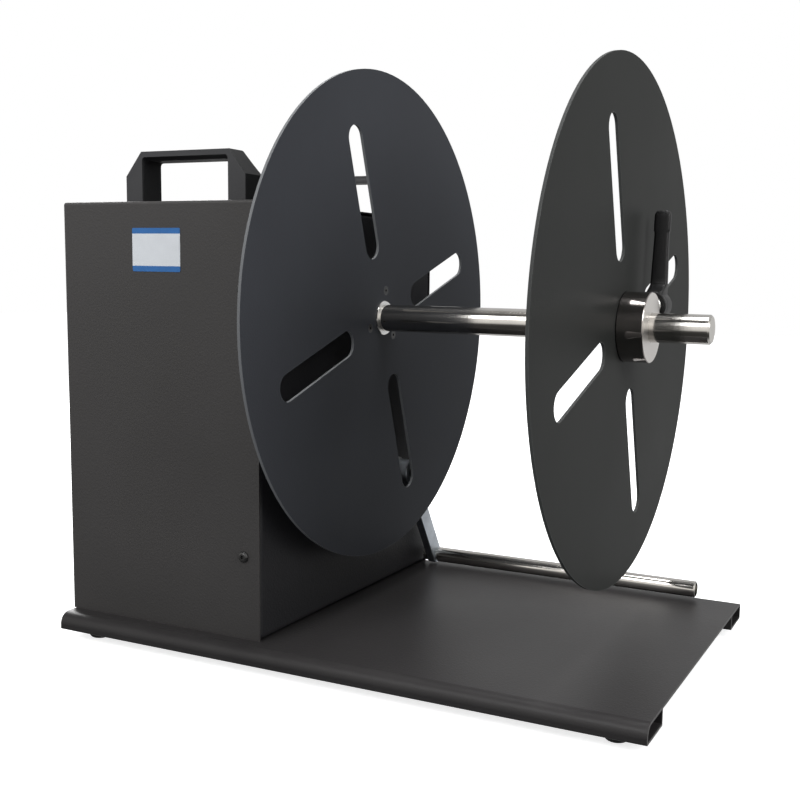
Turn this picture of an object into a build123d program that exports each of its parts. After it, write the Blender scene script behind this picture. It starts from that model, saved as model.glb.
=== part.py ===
from build123d import *
from math import atan2, cos, degrees, radians, sin, sqrt
import os

# Bench label rewinder. Millimetres. X runs along the spindle towards its free end, -Y is the
# front, +Z is up. The spindle axis is at Y = 0, the feet stand on Z = 0, and X = 0 halves the
# whole length, from the speed knob to the base's free end.

# ---------------------------------------------------------------- clearances
sliding_fit = 0.05        # radial, a shaft in a bore that it turns or slides in
fixed_fit = 0.02          # radial, a piece seated on a shaft that it turns with
screw_fit = 0.15          # radial, a screw in its hole
sheet_gap = 0.2           # between two sheets laid side by side

# ---------------------------------------------------------------- base and feet
base_length = 548
base_depth = 334
base_height = 15
base_sheet = 2
base_front_bend = 10
base_rear_bend = 3
channel_width = 42
base_reach = 343          # from the bearing wall to the base's free end
base_front_reach = 186    # from the spindle axis to the base's front edge
foot_height = 8
foot_radius = 10
foot_inset = 28           # from each end of the base
foot_screw_radius = 2

# ---------------------------------------------------------------- cabinet
cabinet_width = 209
cabinet_depth = 312
cabinet_height = 370
cabinet_setback = 20      # behind the base's front edge
cover_sheet = 1.5
cover_bend = 2.5
wall_sheet = 3
wall_bend = 4.5
wall_return = 28
wall_corner = 5
cover_screw_inset = 15.8  # from the bearing wall's face
cover_screw_rise = 72     # from the cabinet's bottom and top
cover_screw_radius = 2.5
knob_reach = 16           # how far the speed knob stands out at the left

# ---------------------------------------------------------------- handles
handle_length = 128
handle_height = 44
handle_depth = 24
handle_bar = 8
handle_leg = 19
handle_shoulder_x = 17
handle_shoulder_z = 21
handle_round = 15
handle_corner = 3
handle_inset = 20         # from the cabinet's front and rear
handle_reach = 90  # handle centre, left of the bearing wall
handle_screw_radius = 3

# ---------------------------------------------------------------- spindle and flanges
spindle_radius = 12.5
spindle_height = 271      # above the base plate
spindle_reach = 335       # from the bearing wall to the free end
spindle_tail = 24         # past the inner plate
spindle_chamfer = 1.5
disc_radius = 225
disc_sheet = 2.5
slot_inner = 70           # slot end centres, from the spindle axis
slot_outer = 168
slot_radius = 12
slot_count = 4
slot_lean = 18.4          # the upper slot leans to the front by this angle
back_disc_face = 25       # its outer face, from the bearing wall
outer_disc_face = 261
hub_spigot_radius = 16
hub_spigot_stand = 2
hub_flange_radius = 33
hub_flange_thick = 8
hub_barrel_radius = 22
hub_wall_gap = 2.5
flange_screw_pitch_radius = 26
flange_screw_radius = 2
flange_screw_head = 4
flange_screw_length = 9
flange_screw_first = 10   # angle of the first screw, from up towards the rear
collar_radius = 30
collar_length = 23
collar_spigot_radius = 18
collar_edge = 0.6

# ---------------------------------------------------------------- clamp
clamp_rise = 18           # the stud's axis above the spindle's axis
clamp_inset = 8           # the stud's axis behind the collar's free face
plug_radius = 6.5
plug_length = 22
stud_radius = 4
spot_face = 22            # the flat that the lever's insert bears on, behind the spindle axis
insert_flange_radius = 8.5
insert_flange = 5
insert_radius = 6.6
insert_spline = 0.7
insert_spline_count = 18
insert_length = 12
insert_tap = 2
lever_boss_radius = 12
lever_boss_depth = 23
lever_web = 4
lever_lift = 4
lever_length = 83
lever_root_width = 15
lever_neck_width = 13
lever_pad_width = 14.5
lever_pad_length = 19
lever_thick = 9
lever_lean = 5            # how far the tip stands out past the root
lever_screw_radius = 3
lever_screw_head = 4.8
lever_screw_head_thick = 3

# ---------------------------------------------------------------- bearings and inner frame
bearing_outer = 23.5
bearing_width = 12
bearing_shield = 0.6
housing_radius = 31
housing_flange_radius = 42
housing_flange = 8
housing_depth = 18
housing_screw_circle = 36.5
housing_screw_radius = 2.5
housing_screw_count = 4
inner_plate_sheet = 3
drive_room = 99           # from the inner plate's face to the cabinet's left side
inner_plate_front = 130   # in front of the spindle axis
inner_plate_rear = 110
inner_plate_height = 340
inner_plate_foot = 25
spacer_radius = 7
spacer_spread_y = 64
spacer_spread_z = 52
spacer_screw_radius = 3
spacer_head_radius = 5.2
spacer_head_thick = 3.3
spacer_tap = 12
circlip_thick = 1.2
circlip_radius = 16
circlip_groove = 0.9

# ---------------------------------------------------------------- belt drive
drive_drop = 129          # the gearbox shaft below the spindle
spindle_pulley_radius = 38
motor_pulley_radius = 19
pulley_flange = 3
pulley_flange_thick = 1.5
pulley_width = 17
pulley_gap = 6            # between the inner plate and the pulleys
pulley_web = 5
belt_thick = 2.4
belt_width = 13
belt_gap = 0.3
gearbox_size = 62
gearbox_width = 58
gearbox_edge = 5
gearbox_shaft_radius = 6
gearbox_boss_radius = 17
gearbox_cover_radius = 25
gearbox_screw_radius = 2.5
gearbox_screw_spread = 48
gearbox_screw_depth = 8
gearbox_head_radius = 4.25
gearbox_head_thick = 3
motor_radius = 26
motor_tail_radius = 10
motor_length = 104
motor_cap = 14

# ---------------------------------------------------------------- dancer arm and roller
dancer_y = 77.5
dancer_height = 110       # pivot above the base plate
dancer_length = 118
dancer_angle = 32         # from straight down, towards the rear, at rest
arm_width = 18
arm_thick = 8
arm_gap = 9.5             # between the bearing wall and the bar
arm_boss_radius = 13
arm_boss_gap = 2
dancer_shaft_radius = 6
dancer_shaft_length = 74
dancer_housing_radius = 17
dancer_housing_length = 42
dancer_flange_radius = 27
dancer_flange = 5
dancer_nose = 0.8
arm_screw_radius = 3
arm_screw_head = 5.2
arm_screw_head_thick = 3.3
arm_counterbore = 3.5
arm_web = 2
arm_screw_length = 14
cam_radius = 13
cam_lobe = 7
cam_width = 10
roller_radius = 8
roller_wall = 1.6
roller_end = 301          # its free end, from the bearing wall
roller_chamfer = 1.2
roller_axle_radius = 4
roller_recess = 3
end_screw_radius = 2.5
end_screw_length = 7
end_screw_head = 4.75
end_screw_head_thick = 2.75
roller_gap = 1            # washer between the arm and the roller
roller_washer_radius = 6
bush_length = 12
axle_nut_across = 13
axle_nut_thick = 6.4

# ---------------------------------------------------------------- electrics
panel_drop = 70           # from the cabinet's top to the dial and the direction switch
panel_rise = 60           # from the base plate to the power switch and the inlet
dial_reach = 95           # in front of the left panel's middle
switch_reach = 55
inlet_reach = 105
vent_rise = 215
vent_count = 7
vent_pitch = 11
vent_length = 60
vent_width = 4
supply_length = 129
supply_width = 80
supply_height = 38
supply_gap = 2            # between it and the cabinet's left side
supply_reach = 60         # in front of the panel's middle
shelf_height = 10
shelf_depth = 17
terminal_count = 7
terminal_pitch = 9.5
terminal_width = 7
terminal_height = 9
board_length = 60
board_height = 80
board_thick = 1.6
board_y = 76              # its middle, behind the spindle's axis
board_drop = 99
board_post_inset = 5
board_part_height = 14
board_standoff = 10
board_standoff_radius = 3
inlet_width = 48
inlet_height = 28
inlet_depth = 22
inlet_flange = 3
inlet_recess = 14
inlet_mouth_width = 24
inlet_mouth_height = 16.5
inlet_pin_pitch = 7
inlet_pin = 5
inlet_pin_length = 9
rocker_width = 13
rocker_height = 19
rocker_depth = 18
rocker_frame = 2
rocker_frame_width = 2.5
rocker_gap = 0.4
rocker_tilt = 8
knob_radius = 11
knob_length = 14
knob_skirt = 2
knob_flute_count = 16
knob_flute = 1.1
pot_shaft_radius = 3
pot_radius = 8
pot_depth = 12
pot_bush_radius = 4.5
pot_bush_bore = 3.5

# ---------------------------------------------------------------- places worked out from the above
wall_x = (cabinet_width + knob_reach - base_reach) / 2
base_right = wall_x + base_reach
base_left = base_right - base_length
base_top = foot_height + base_height
cabinet_left = wall_x - cabinet_width
cabinet_top = base_top + cabinet_height
spindle_z = base_top + spindle_height
base_front = -base_front_reach
base_rear = base_front + base_depth
cabinet_front = base_front + cabinet_setback
inner_plate_offset = cabinet_width - drive_room
cabinet_rear = cabinet_front + cabinet_depth
inner_x = wall_x - inner_plate_offset          # the inner plate's face towards the wall
inner_back = inner_x - inner_plate_sheet
drive_z = spindle_z - drive_drop
pulley_x = inner_x + pulley_gap
back_face_x = wall_x + back_disc_face
outer_face_x = wall_x + outer_disc_face
collar_face_x = outer_face_x + collar_length
clamp_x = collar_face_x - clamp_inset
clamp_z = spindle_z + clamp_rise
dancer_z = base_top + dancer_height
roller_y = dancer_y + dancer_length * sin(radians(dancer_angle))
roller_z = dancer_z - dancer_length * cos(radians(dancer_angle))
arm_x = wall_x + arm_gap
arm_face_x = arm_x + arm_thick

os.makedirs("parts", exist_ok=True)


def across(x, y=0, z=0):
    # a sketch plane square to the spindle: local X is to the rear, local Y is up
    return Plane(origin=(x, y, z), x_dir=(0, 1, 0), z_dir=(1, 0, 0))


def upright(y, x=0, z=0):
    # a sketch plane seen from the front: local X is along the spindle, local Y is up
    return Plane(origin=(x, y, z), x_dir=(1, 0, 0), z_dir=(0, -1, 0))


def save(builder, name):
    builder.part.label = name
    export_step(builder.part, f"parts/{name}.step")


def tube(x, length, outer, inner=0.0, y=0.0, z=0.0):
    # a bar or a ring along X
    with BuildPart() as bar:
        with BuildSketch(across(x, y, z)):
            Circle(outer)
            if inner > 0:
                Circle(inner, mode=Mode.SUBTRACT)
        extrude(amount=length)
    return bar.part


def turned(outline, y=0.0, z=0.0):
    # revolves (x, radius) points about a line along X
    with BuildPart() as body:
        with BuildSketch(upright(y, 0, z)):
            with BuildLine():
                Polyline(*outline, close=True)
            make_face()
        revolve(axis=Axis((0, y, z), (1, 0, 0)))
    return body.part


def socket_screw(radius, length, head_radius, head_thick):
    # a round head on Z = 0 with a hex socket, its shank going down
    with BuildPart() as screw:
        with BuildSketch(Plane.XZ):
            with BuildLine():
                Line((0, -length), (radius, -length))
                Line((radius, -length), (radius, 0))
                Line((radius, 0), (head_radius, 0))
                Line((head_radius, 0), (head_radius, head_thick * 0.3))
                ThreePointArc((head_radius, head_thick * 0.3),
                              (head_radius * 0.86, head_thick * 0.75), (head_radius * 0.6, head_thick))
                Line((head_radius * 0.6, head_thick), (0, head_thick))
                Line((0, head_thick), (0, -length))
            make_face()
        revolve(axis=Axis.Z)
        with BuildSketch(Plane.XY.offset(head_thick)):
            RegularPolygon(radius * 0.62, 6, major_radius=False)
        extrude(amount=-head_thick * 0.6, mode=Mode.SUBTRACT)
    return screw.part


# ================================================================ base
with BuildPart() as base_plate:
    with BuildSketch(across(base_left)) as base_section:
        with BuildLine():
            FilletPolyline(
                (base_rear - channel_width, foot_height),
                (base_rear, foot_height),
                (base_rear, base_top),
                (base_front, base_top),
                (base_front, foot_height),
                (base_front + channel_width, foot_height),
                radius=[base_rear_bend / 2, base_rear_bend, base_front_bend, base_rear_bend / 2],
            )
            Polyline(
                (base_front + channel_width, foot_height),
                (base_front + channel_width, base_top - base_sheet),
                (base_rear - channel_width, base_top - base_sheet),
                (base_rear - channel_width, foot_height),
            )
        make_face()
        channel_floor = foot_height + base_sheet
        channel_roof = base_top - base_sheet
        for edge_y, inward, bend in ((base_front, 1, base_front_bend), (base_rear, -1, base_rear_bend)):
            outer_y = edge_y + inward * base_sheet
            inner_y = edge_y + inward * (channel_width - base_sheet)
            with BuildLine():
                FilletPolyline(
                    (inner_y, channel_roof),
                    (outer_y, channel_roof),
                    (outer_y, channel_floor),
                    radius=max(bend - base_sheet, 0.5),
                )
                Polyline((outer_y, channel_floor), (inner_y, channel_floor), (inner_y, channel_roof))
            make_face(mode=Mode.SUBTRACT)
    extrude(amount=base_length)
    foot_places = []
    for foot_x in (base_left + foot_inset, base_right - foot_inset):
        for foot_y in (base_front + channel_width / 2, base_rear - channel_width / 2):
            foot_places.append((foot_x, foot_y))
    with Locations(*[(x, y, foot_height) for x, y in foot_places]):
        Cylinder(foot_screw_radius + screw_fit, 3 * base_sheet, mode=Mode.SUBTRACT)
save(base_plate, "base_plate")

foot_recess = foot_height * 0.55
foot_head_thick = 2.2
with BuildPart() as rubber_feet:
    for foot_x, foot_y in foot_places:
        with BuildSketch(Plane(origin=(foot_x, foot_y, 0), x_dir=(1, 0, 0), z_dir=(0, -1, 0))):
            with BuildLine():
                Line((foot_screw_radius + screw_fit, foot_height), (foot_radius, foot_height))
                Line((foot_radius, foot_height), (foot_radius, foot_height * 0.6))
                ThreePointArc((foot_radius, foot_height * 0.6),
                              (foot_radius * 0.93, foot_height * 0.2), (foot_radius * 0.72, 0))
                Line((foot_radius * 0.72, 0), (foot_radius * 0.5, 0))
                Line((foot_radius * 0.5, 0), (foot_radius * 0.5, foot_recess))
                Line((foot_radius * 0.5, foot_recess), (foot_screw_radius + screw_fit, foot_recess))
                Line((foot_screw_radius + screw_fit, foot_recess), (foot_screw_radius + screw_fit, foot_height))
            make_face()
        revolve(axis=Axis((foot_x, foot_y, 0), (0, 0, 1)))
save(rubber_feet, "rubber_feet")

foot_screw_length = foot_height - foot_recess + base_sheet + 3
with BuildPart() as foot_screws:
    foot_screw = socket_screw(foot_screw_radius, foot_screw_length, foot_radius * 0.4, foot_head_thick)
    for foot_x, foot_y in foot_places:
        with Locations(Location((foot_x, foot_y, foot_recess), (180, 0, 0))):
            add(foot_screw)
save(foot_screws, "foot_screws")

# ================================================================ cabinet
wall_front = cabinet_front + cover_sheet + sheet_gap
wall_rear = cabinet_rear - cover_sheet - sheet_gap
wall_top = cabinet_top - cover_sheet - sheet_gap
wall_hole_radius = housing_radius - 6
cover_screw_x = wall_x - cover_screw_inset
cover_screw_levels = (base_top + cover_screw_rise, cabinet_top - cover_screw_rise)

with BuildPart() as bearing_wall:
    with BuildSketch(across(wall_x - wall_return, (wall_front + wall_rear) / 2, (base_top + wall_top) / 2)):
        RectangleRounded(wall_rear - wall_front, wall_top - base_top, wall_corner)
    extrude(amount=wall_return)
    face_edges = bearing_wall.faces().sort_by(Axis.X)[-1].edges()
    fillet(face_edges, radius=wall_bend)
    offset(amount=-wall_sheet, openings=bearing_wall.faces().sort_by(Axis.X)[0])
    with BuildSketch(across(wall_x - wall_sheet)):
        with Locations((0, spindle_z)):
            Circle(wall_hole_radius)
        with Locations((dancer_y, dancer_z)):
            Circle(dancer_housing_radius - 2 + screw_fit)
    extrude(amount=2 * wall_sheet, both=True, mode=Mode.SUBTRACT)
    with Locations(*[Location((cover_screw_x, 0, level), (90, 0, 0)) for level in cover_screw_levels]):
        Cylinder(cover_screw_radius + screw_fit, 2 * cabinet_depth, mode=Mode.SUBTRACT)
save(bearing_wall, "bearing_wall")

panel_mid = (cabinet_front + cabinet_rear) / 2
knob_place = (panel_mid - dial_reach, cabinet_top - panel_drop)
direction_place = (panel_mid - switch_reach, cabinet_top - panel_drop)
power_place = (panel_mid + switch_reach, base_top + panel_rise)
inlet_place = (panel_mid + inlet_reach, base_top + panel_rise)
vent_place = (panel_mid, base_top + vent_rise)
switch_hole = (rocker_width + 2 * rocker_gap, rocker_height + 2 * rocker_gap)

with BuildPart() as cabinet_cover:
    with BuildSketch(Plane.XY.offset(base_top)):
        with Locations((wall_x - cabinet_width / 2, panel_mid)):
            Rectangle(cabinet_width, cabinet_depth)
    extrude(amount=cabinet_height)
    left_edges = cabinet_cover.edges().filter_by(Axis.Z).sort_by(Axis.X)[:2]
    top_edges = cabinet_cover.faces().sort_by(Axis.Z)[-1].edges().sort_by(Axis.X)[:-1]
    fillet(left_edges + top_edges, radius=cover_bend)
    open_faces = [cabinet_cover.faces().sort_by(Axis.X)[-1], cabinet_cover.faces().sort_by(Axis.Z)[0]]
    offset(amount=-cover_sheet, openings=open_faces)
    with BuildSketch(across(cabinet_left)):
        with Locations(direction_place, power_place):
            Rectangle(*switch_hole)
        with Locations(inlet_place):
            Rectangle(inlet_width - 2 * inlet_flange, inlet_height - 2 * inlet_flange)
        with Locations(knob_place):
            Circle(pot_bush_radius + screw_fit)
        with Locations(vent_place):
            with GridLocations(0, vent_pitch, 1, vent_count):
                SlotOverall(vent_length, vent_width)
    extrude(amount=2 * cover_sheet, both=True, mode=Mode.SUBTRACT)
    with Locations(*[Location((cover_screw_x, 0, level), (90, 0, 0)) for level in cover_screw_levels]):
        Cylinder(cover_screw_radius + screw_fit, 2 * cabinet_depth, mode=Mode.SUBTRACT)
    handle_centre_x = wall_x - handle_reach
    handle_rows = (cabinet_front + handle_inset + handle_depth / 2, cabinet_rear - handle_inset - handle_depth / 2)
    handle_leg_spread = handle_length - handle_leg
    handle_screw_places = []
    for row_y in handle_rows:
        for side in (-1, 1):
            handle_screw_places.append((handle_centre_x + side * handle_leg_spread / 2, row_y))
    with Locations(*[(x, y, cabinet_top) for x, y in handle_screw_places]):
        Cylinder(handle_screw_radius + screw_fit, 4 * cover_sheet, mode=Mode.SUBTRACT)
save(cabinet_cover, "cabinet_cover")

cover_screw_length = 10
cover_screw_head = 4.75
cover_screw_head_thick = 2.75
with BuildPart() as cover_screws:
    cover_screw = socket_screw(cover_screw_radius, cover_screw_length, cover_screw_head, cover_screw_head_thick)
    for level in cover_screw_levels:
        with Locations(Location((cover_screw_x, cabinet_front, level), (90, 0, 0))):
            add(cover_screw)
        with Locations(Location((cover_screw_x, cabinet_rear, level), (-90, 0, 0))):
            add(cover_screw)
save(cover_screws, "cover_screws")

# ================================================================ bridge handles
handle_screw_depth = 12
half_handle = handle_length / 2
half_opening = half_handle - handle_leg
for handle_name, row_y, outward in (("front_handle", handle_rows[0], -1), ("rear_handle", handle_rows[1], 1)):
    with BuildPart() as handle:
        with BuildSketch(upright(row_y, handle_centre_x, cabinet_top)):
            with BuildLine():
                Polyline(
                    (-half_opening, 0),
                    (-half_handle, 0),
                    (-half_handle, handle_height - handle_shoulder_z),
                    (-half_handle + handle_shoulder_x, handle_height),
                    (half_handle - handle_shoulder_x, handle_height),
                    (half_handle, handle_height - handle_shoulder_z),
                    (half_handle, 0),
                    (half_opening, 0),
                )
                FilletPolyline(
                    (half_opening, 0),
                    (half_opening, handle_height - handle_bar),
                    (-half_opening, handle_height - handle_bar),
                    (-half_opening, 0),
                    radius=handle_corner,
                )
            make_face()
        extrude(amount=handle_depth / 2, both=True)
        # seen along the bar, the side that faces the cabinet's middle is rounded over
        flat_y = outward * handle_depth / 2
        round_y = -flat_y
        arc_start = round_y + outward * handle_round
        arc_middle = handle_round * sqrt(0.5)
        with BuildSketch(across(handle_centre_x, row_y, cabinet_top)):
            with BuildLine():
                Line((flat_y, 0), (flat_y, handle_height))
                Line((flat_y, handle_height), (arc_start, handle_height))
                ThreePointArc(
                    (arc_start, handle_height),
                    (arc_start - outward * arc_middle, handle_height - handle_round + arc_middle),
                    (round_y, handle_height - handle_round),
                )
                Line((round_y, handle_height - handle_round), (round_y, 0))
                Line((round_y, 0), (flat_y, 0))
            make_face()
        extrude(amount=handle_length, both=True, mode=Mode.INTERSECT)
        with Locations(*[(handle_centre_x + side * handle_leg_spread / 2, row_y, cabinet_top) for side in (-1, 1)]):
            Cylinder(handle_screw_radius + screw_fit, 2 * handle_screw_depth, mode=Mode.SUBTRACT)
    save(handle, handle_name)

handle_head_radius = 5.2
handle_head_thick = 3.3
with BuildPart() as handle_screws:
    handle_screw = socket_screw(
        handle_screw_radius, handle_screw_depth * 0.9 + cover_sheet, handle_head_radius, handle_head_thick
    )
    for x, y in handle_screw_places:
        with Locations(Location((x, y, cabinet_top - cover_sheet), (180, 0, 0))):
            add(handle_screw)
save(handle_screws, "handle_screws")

# ================================================================ inner frame
plate_front = -inner_plate_front
plate_window_y = 34
plate_window_gap = 78
with BuildPart() as inner_plate:
    with BuildSketch(across(inner_back)):
        with BuildLine():
            FilletPolyline(
                (plate_front, base_top),
                (plate_front, base_top + inner_plate_height),
                (inner_plate_rear, base_top + inner_plate_height),
                (inner_plate_rear, base_top),
                radius=12,
            )
            Line((inner_plate_rear, base_top), (plate_front, base_top))
        make_face()
        with Locations((0, spindle_z)):
            Circle(spindle_radius + 4, mode=Mode.SUBTRACT)
        with Locations((0, drive_z)):
            Circle(gearbox_boss_radius + sheet_gap, mode=Mode.SUBTRACT)
        with Locations((-plate_window_gap, drive_z), (plate_window_gap, drive_z)):
            RectangleRounded(plate_window_y, 2 * plate_window_gap, 8, mode=Mode.SUBTRACT)
        with Locations((0, spindle_z)):
            with GridLocations(2 * spacer_spread_y, 2 * spacer_spread_z, 2, 2):
                Circle(spacer_screw_radius + screw_fit, mode=Mode.SUBTRACT)
        with Locations((0, drive_z)):
            with GridLocations(gearbox_screw_spread, gearbox_screw_spread, 2, 2):
                Circle(gearbox_screw_radius + screw_fit, mode=Mode.SUBTRACT)
    extrude(amount=inner_plate_sheet)
    with BuildSketch(Plane.XY.offset(base_top)):
        with Locations((inner_x + inner_plate_foot / 2, (plate_front + inner_plate_rear) / 2)):
            Rectangle(inner_plate_foot, inner_plate_rear - plate_front)
    extrude(amount=inner_plate_sheet)
    foot_edge = inner_plate.edges().filter_by(Axis.Y).group_by(Axis.Z)[0].sort_by(Axis.X)[0]
    fillet(foot_edge, radius=inner_plate_sheet * 0.9)
save(inner_plate, "inner_plate")

spacer_length = inner_plate_offset - wall_sheet
spacer_places = []
for side_y in (-1, 1):
    for side_z in (-1, 1):
        spacer_places.append((side_y * spacer_spread_y, spindle_z + side_z * spacer_spread_z))
with BuildPart() as frame_spacers:
    for y, z in spacer_places:
        add(tube(inner_x, spacer_length, spacer_radius, 0, y, z))
        add(tube(inner_x, spacer_tap, spacer_screw_radius + screw_fit, 0, y, z), mode=Mode.SUBTRACT)
save(frame_spacers, "frame_spacers")

with BuildPart() as spacer_screws:
    spacer_screw_length = spacer_tap * 0.9 + inner_plate_sheet
    spacer_screw = socket_screw(spacer_screw_radius, spacer_screw_length, spacer_head_radius, spacer_head_thick)
    for y, z in spacer_places:
        with Locations(Location((inner_back, y, z), (0, -90, 0))):
            add(spacer_screw)
save(spacer_screws, "spacer_screws")


def bearing_housing(seat_x, direction):
    # a round flanged housing; its flange seats on seat_x and its body grows along direction
    d = direction
    bore = spindle_radius + 4
    outline = [
        (seat_x, bore),
        (seat_x, housing_flange_radius),
        (seat_x + d * housing_flange, housing_flange_radius),
        (seat_x + d * housing_flange, housing_radius),
        (seat_x + d * housing_depth, housing_radius),
        (seat_x + d * housing_depth, bearing_outer + fixed_fit),
        (seat_x + d * (housing_depth - bearing_width - 1), bearing_outer + fixed_fit),
        (seat_x + d * (housing_depth - bearing_width - 1), bore),
    ]
    with BuildPart() as housing:
        add(turned(outline, 0, spindle_z))
        with Locations(across(seat_x, 0, spindle_z)):
            with PolarLocations(housing_screw_circle, housing_screw_count, start_angle=45):
                Cylinder(housing_screw_radius + screw_fit, 4 * housing_flange, mode=Mode.SUBTRACT)
    return housing


def ball_bearing(x):
    # both rings, with shields set back from the faces
    mid_low = spindle_radius + 3.5
    mid_high = bearing_outer - 3.5
    low = spindle_radius + sliding_fit
    outline = [
        (x, low),
        (x, mid_low),
        (x + bearing_shield, mid_low),
        (x + bearing_shield, mid_high),
        (x, mid_high),
        (x, bearing_outer),
        (x + bearing_width, bearing_outer),
        (x + bearing_width, mid_high),
        (x + bearing_width - bearing_shield, mid_high),
        (x + bearing_width - bearing_shield, mid_low),
        (x + bearing_width, mid_low),
        (x + bearing_width, low),
    ]
    return turned(outline, 0, spindle_z)


wall_inside = wall_x - wall_sheet
front_bearing_x = wall_inside - housing_depth + 1
rear_bearing_x = inner_back - housing_depth + 1
front_housing = bearing_housing(wall_inside, -1)
save(front_housing, "front_bearing_housing")
rear_housing = bearing_housing(inner_back, -1)
save(rear_housing, "rear_bearing_housing")

with BuildPart() as front_bearing:
    add(ball_bearing(front_bearing_x))
save(front_bearing, "front_bearing")

with BuildPart() as rear_bearing:
    add(ball_bearing(rear_bearing_x))
save(rear_bearing, "rear_bearing")

housing_screw_head = 4.25
housing_screw_head_thick = 5
with BuildPart() as housing_screws:
    housing_screw = socket_screw(
        housing_screw_radius, housing_flange, housing_screw_head, housing_screw_head_thick
    )
    for seat_x in (wall_inside, inner_back):
        with Locations(across(seat_x - housing_flange, 0, spindle_z)):
            with PolarLocations(housing_screw_circle, housing_screw_count, start_angle=45):
                with Locations(Location((0, 0, 0), (0, 180, 0))):
                    add(housing_screw)
save(housing_screws, "housing_screws")

# ================================================================ spindle
spindle_left = inner_back - spindle_tail
spindle_right = wall_x + spindle_reach
circlip_stations = (rear_bearing_x - circlip_thick - 0.3, rear_bearing_x + bearing_width + 0.3)
with BuildPart() as main_spindle:
    add(tube(spindle_left, spindle_right - spindle_left, spindle_radius, 0, 0, spindle_z))
    end_rims = main_spindle.edges().filter_by(GeomType.CIRCLE)
    chamfer(end_rims, length=spindle_chamfer)
    for station in circlip_stations:
        add(
            tube(station, circlip_thick, spindle_radius + 1, spindle_radius - circlip_groove, 0, spindle_z),
            mode=Mode.SUBTRACT,
        )
save(main_spindle, "main_spindle")

with BuildPart() as spindle_circlips:
    for station in circlip_stations:
        add(tube(station, circlip_thick, circlip_radius, spindle_radius - circlip_groove + fixed_fit, 0, spindle_z))
        with BuildSketch(across(station, 0, spindle_z + circlip_radius)):
            Rectangle(4, 12)
        extrude(amount=circlip_thick, mode=Mode.SUBTRACT)
save(spindle_circlips, "spindle_circlips")

# ================================================================ belt drive


def flat_pulley(rim_radius, bore, y, z):
    # a flanged pulley whose web is thinner than its rim
    half = pulley_width / 2
    middle = pulley_x + half
    hub = bore + 6
    recess = (pulley_width - pulley_web) / 2
    inside = rim_radius - 5
    flange = rim_radius + pulley_flange
    left = pulley_x
    right = pulley_x + pulley_width
    outline = [(left, bore), (left, hub)]
    if inside > hub + 3:
        outline += [(left + recess, hub), (left + recess, inside), (left, inside)]
    outline += [
        (left, flange),
        (left + pulley_flange_thick, flange),
        (left + pulley_flange_thick, rim_radius),
        (right - pulley_flange_thick, rim_radius),
        (right - pulley_flange_thick, flange),
        (right, flange),
    ]
    if inside > hub + 3:
        outline += [(right, inside), (right - recess, inside), (right - recess, hub)]
    outline += [(right, hub), (right, bore)]
    with BuildPart() as pulley:
        add(turned(outline, y, z))
        if inside > hub + 12:
            with Locations(across(middle, y, z)):
                with PolarLocations((hub + inside) / 2, 6):
                    Cylinder((inside - hub) * 0.32, pulley_width, mode=Mode.SUBTRACT)
    return pulley


spindle_pulley = flat_pulley(spindle_pulley_radius, spindle_radius + fixed_fit, 0, spindle_z)
save(spindle_pulley, "spindle_pulley")
motor_pulley = flat_pulley(motor_pulley_radius, gearbox_shaft_radius + fixed_fit, 0, drive_z)
save(motor_pulley, "motor_pulley")


def belt_loop(extra, length):
    # the loop round both pulleys, its face standing off their rims by extra
    with BuildPart() as loop:
        with BuildSketch(across(pulley_x + (pulley_width - length) / 2, 0, spindle_z)):
            Circle(spindle_pulley_radius + extra)
            with Locations((0, -drive_drop)):
                Circle(motor_pulley_radius + extra)
            make_hull()
        extrude(amount=length)
    return loop.part


with BuildPart() as drive_belt:
    add(belt_loop(belt_gap + belt_thick, belt_width))
    add(belt_loop(belt_gap, belt_width), mode=Mode.SUBTRACT)
save(drive_belt, "drive_belt")

gearbox_left = inner_back - gearbox_width
gearbox_mid = inner_back - gearbox_width / 2
with BuildPart() as gearbox:
    with BuildSketch(across(gearbox_left, 0, drive_z)):
        RectangleRounded(gearbox_size, gearbox_size, gearbox_edge)
    extrude(amount=gearbox_width)
    add(tube(inner_back, inner_plate_sheet, gearbox_boss_radius, 0, 0, drive_z))
    add(tube(gearbox_left - 3, 3, gearbox_cover_radius, 0, 0, drive_z))
    # the worm's tube, from the motor's flange to a cap at the rear
    with BuildSketch(upright(0, gearbox_mid, drive_z)):
        Circle(gearbox_size * 0.36)
    extrude(amount=-(gearbox_size / 2 + 8))
    shaft_bore = gearbox_width + inner_plate_sheet
    add(tube(gearbox_left, shaft_bore, gearbox_shaft_radius + sliding_fit, 0, 0, drive_z), mode=Mode.SUBTRACT)
    with BuildSketch(across(inner_back, 0, drive_z)):
        with GridLocations(gearbox_screw_spread, gearbox_screw_spread, 2, 2):
            Circle(gearbox_screw_radius + fixed_fit)
    extrude(amount=-gearbox_screw_depth - 1, mode=Mode.SUBTRACT)
save(gearbox, "gearbox")

drive_shaft_end = pulley_x + pulley_width + 2
with BuildPart() as gearbox_shaft:
    add(tube(gearbox_left, drive_shaft_end - gearbox_left, gearbox_shaft_radius, 0, 0, drive_z))
    chamfer(gearbox_shaft.edges().filter_by(GeomType.CIRCLE), length=0.8)
save(gearbox_shaft, "gearbox_shaft")

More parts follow.
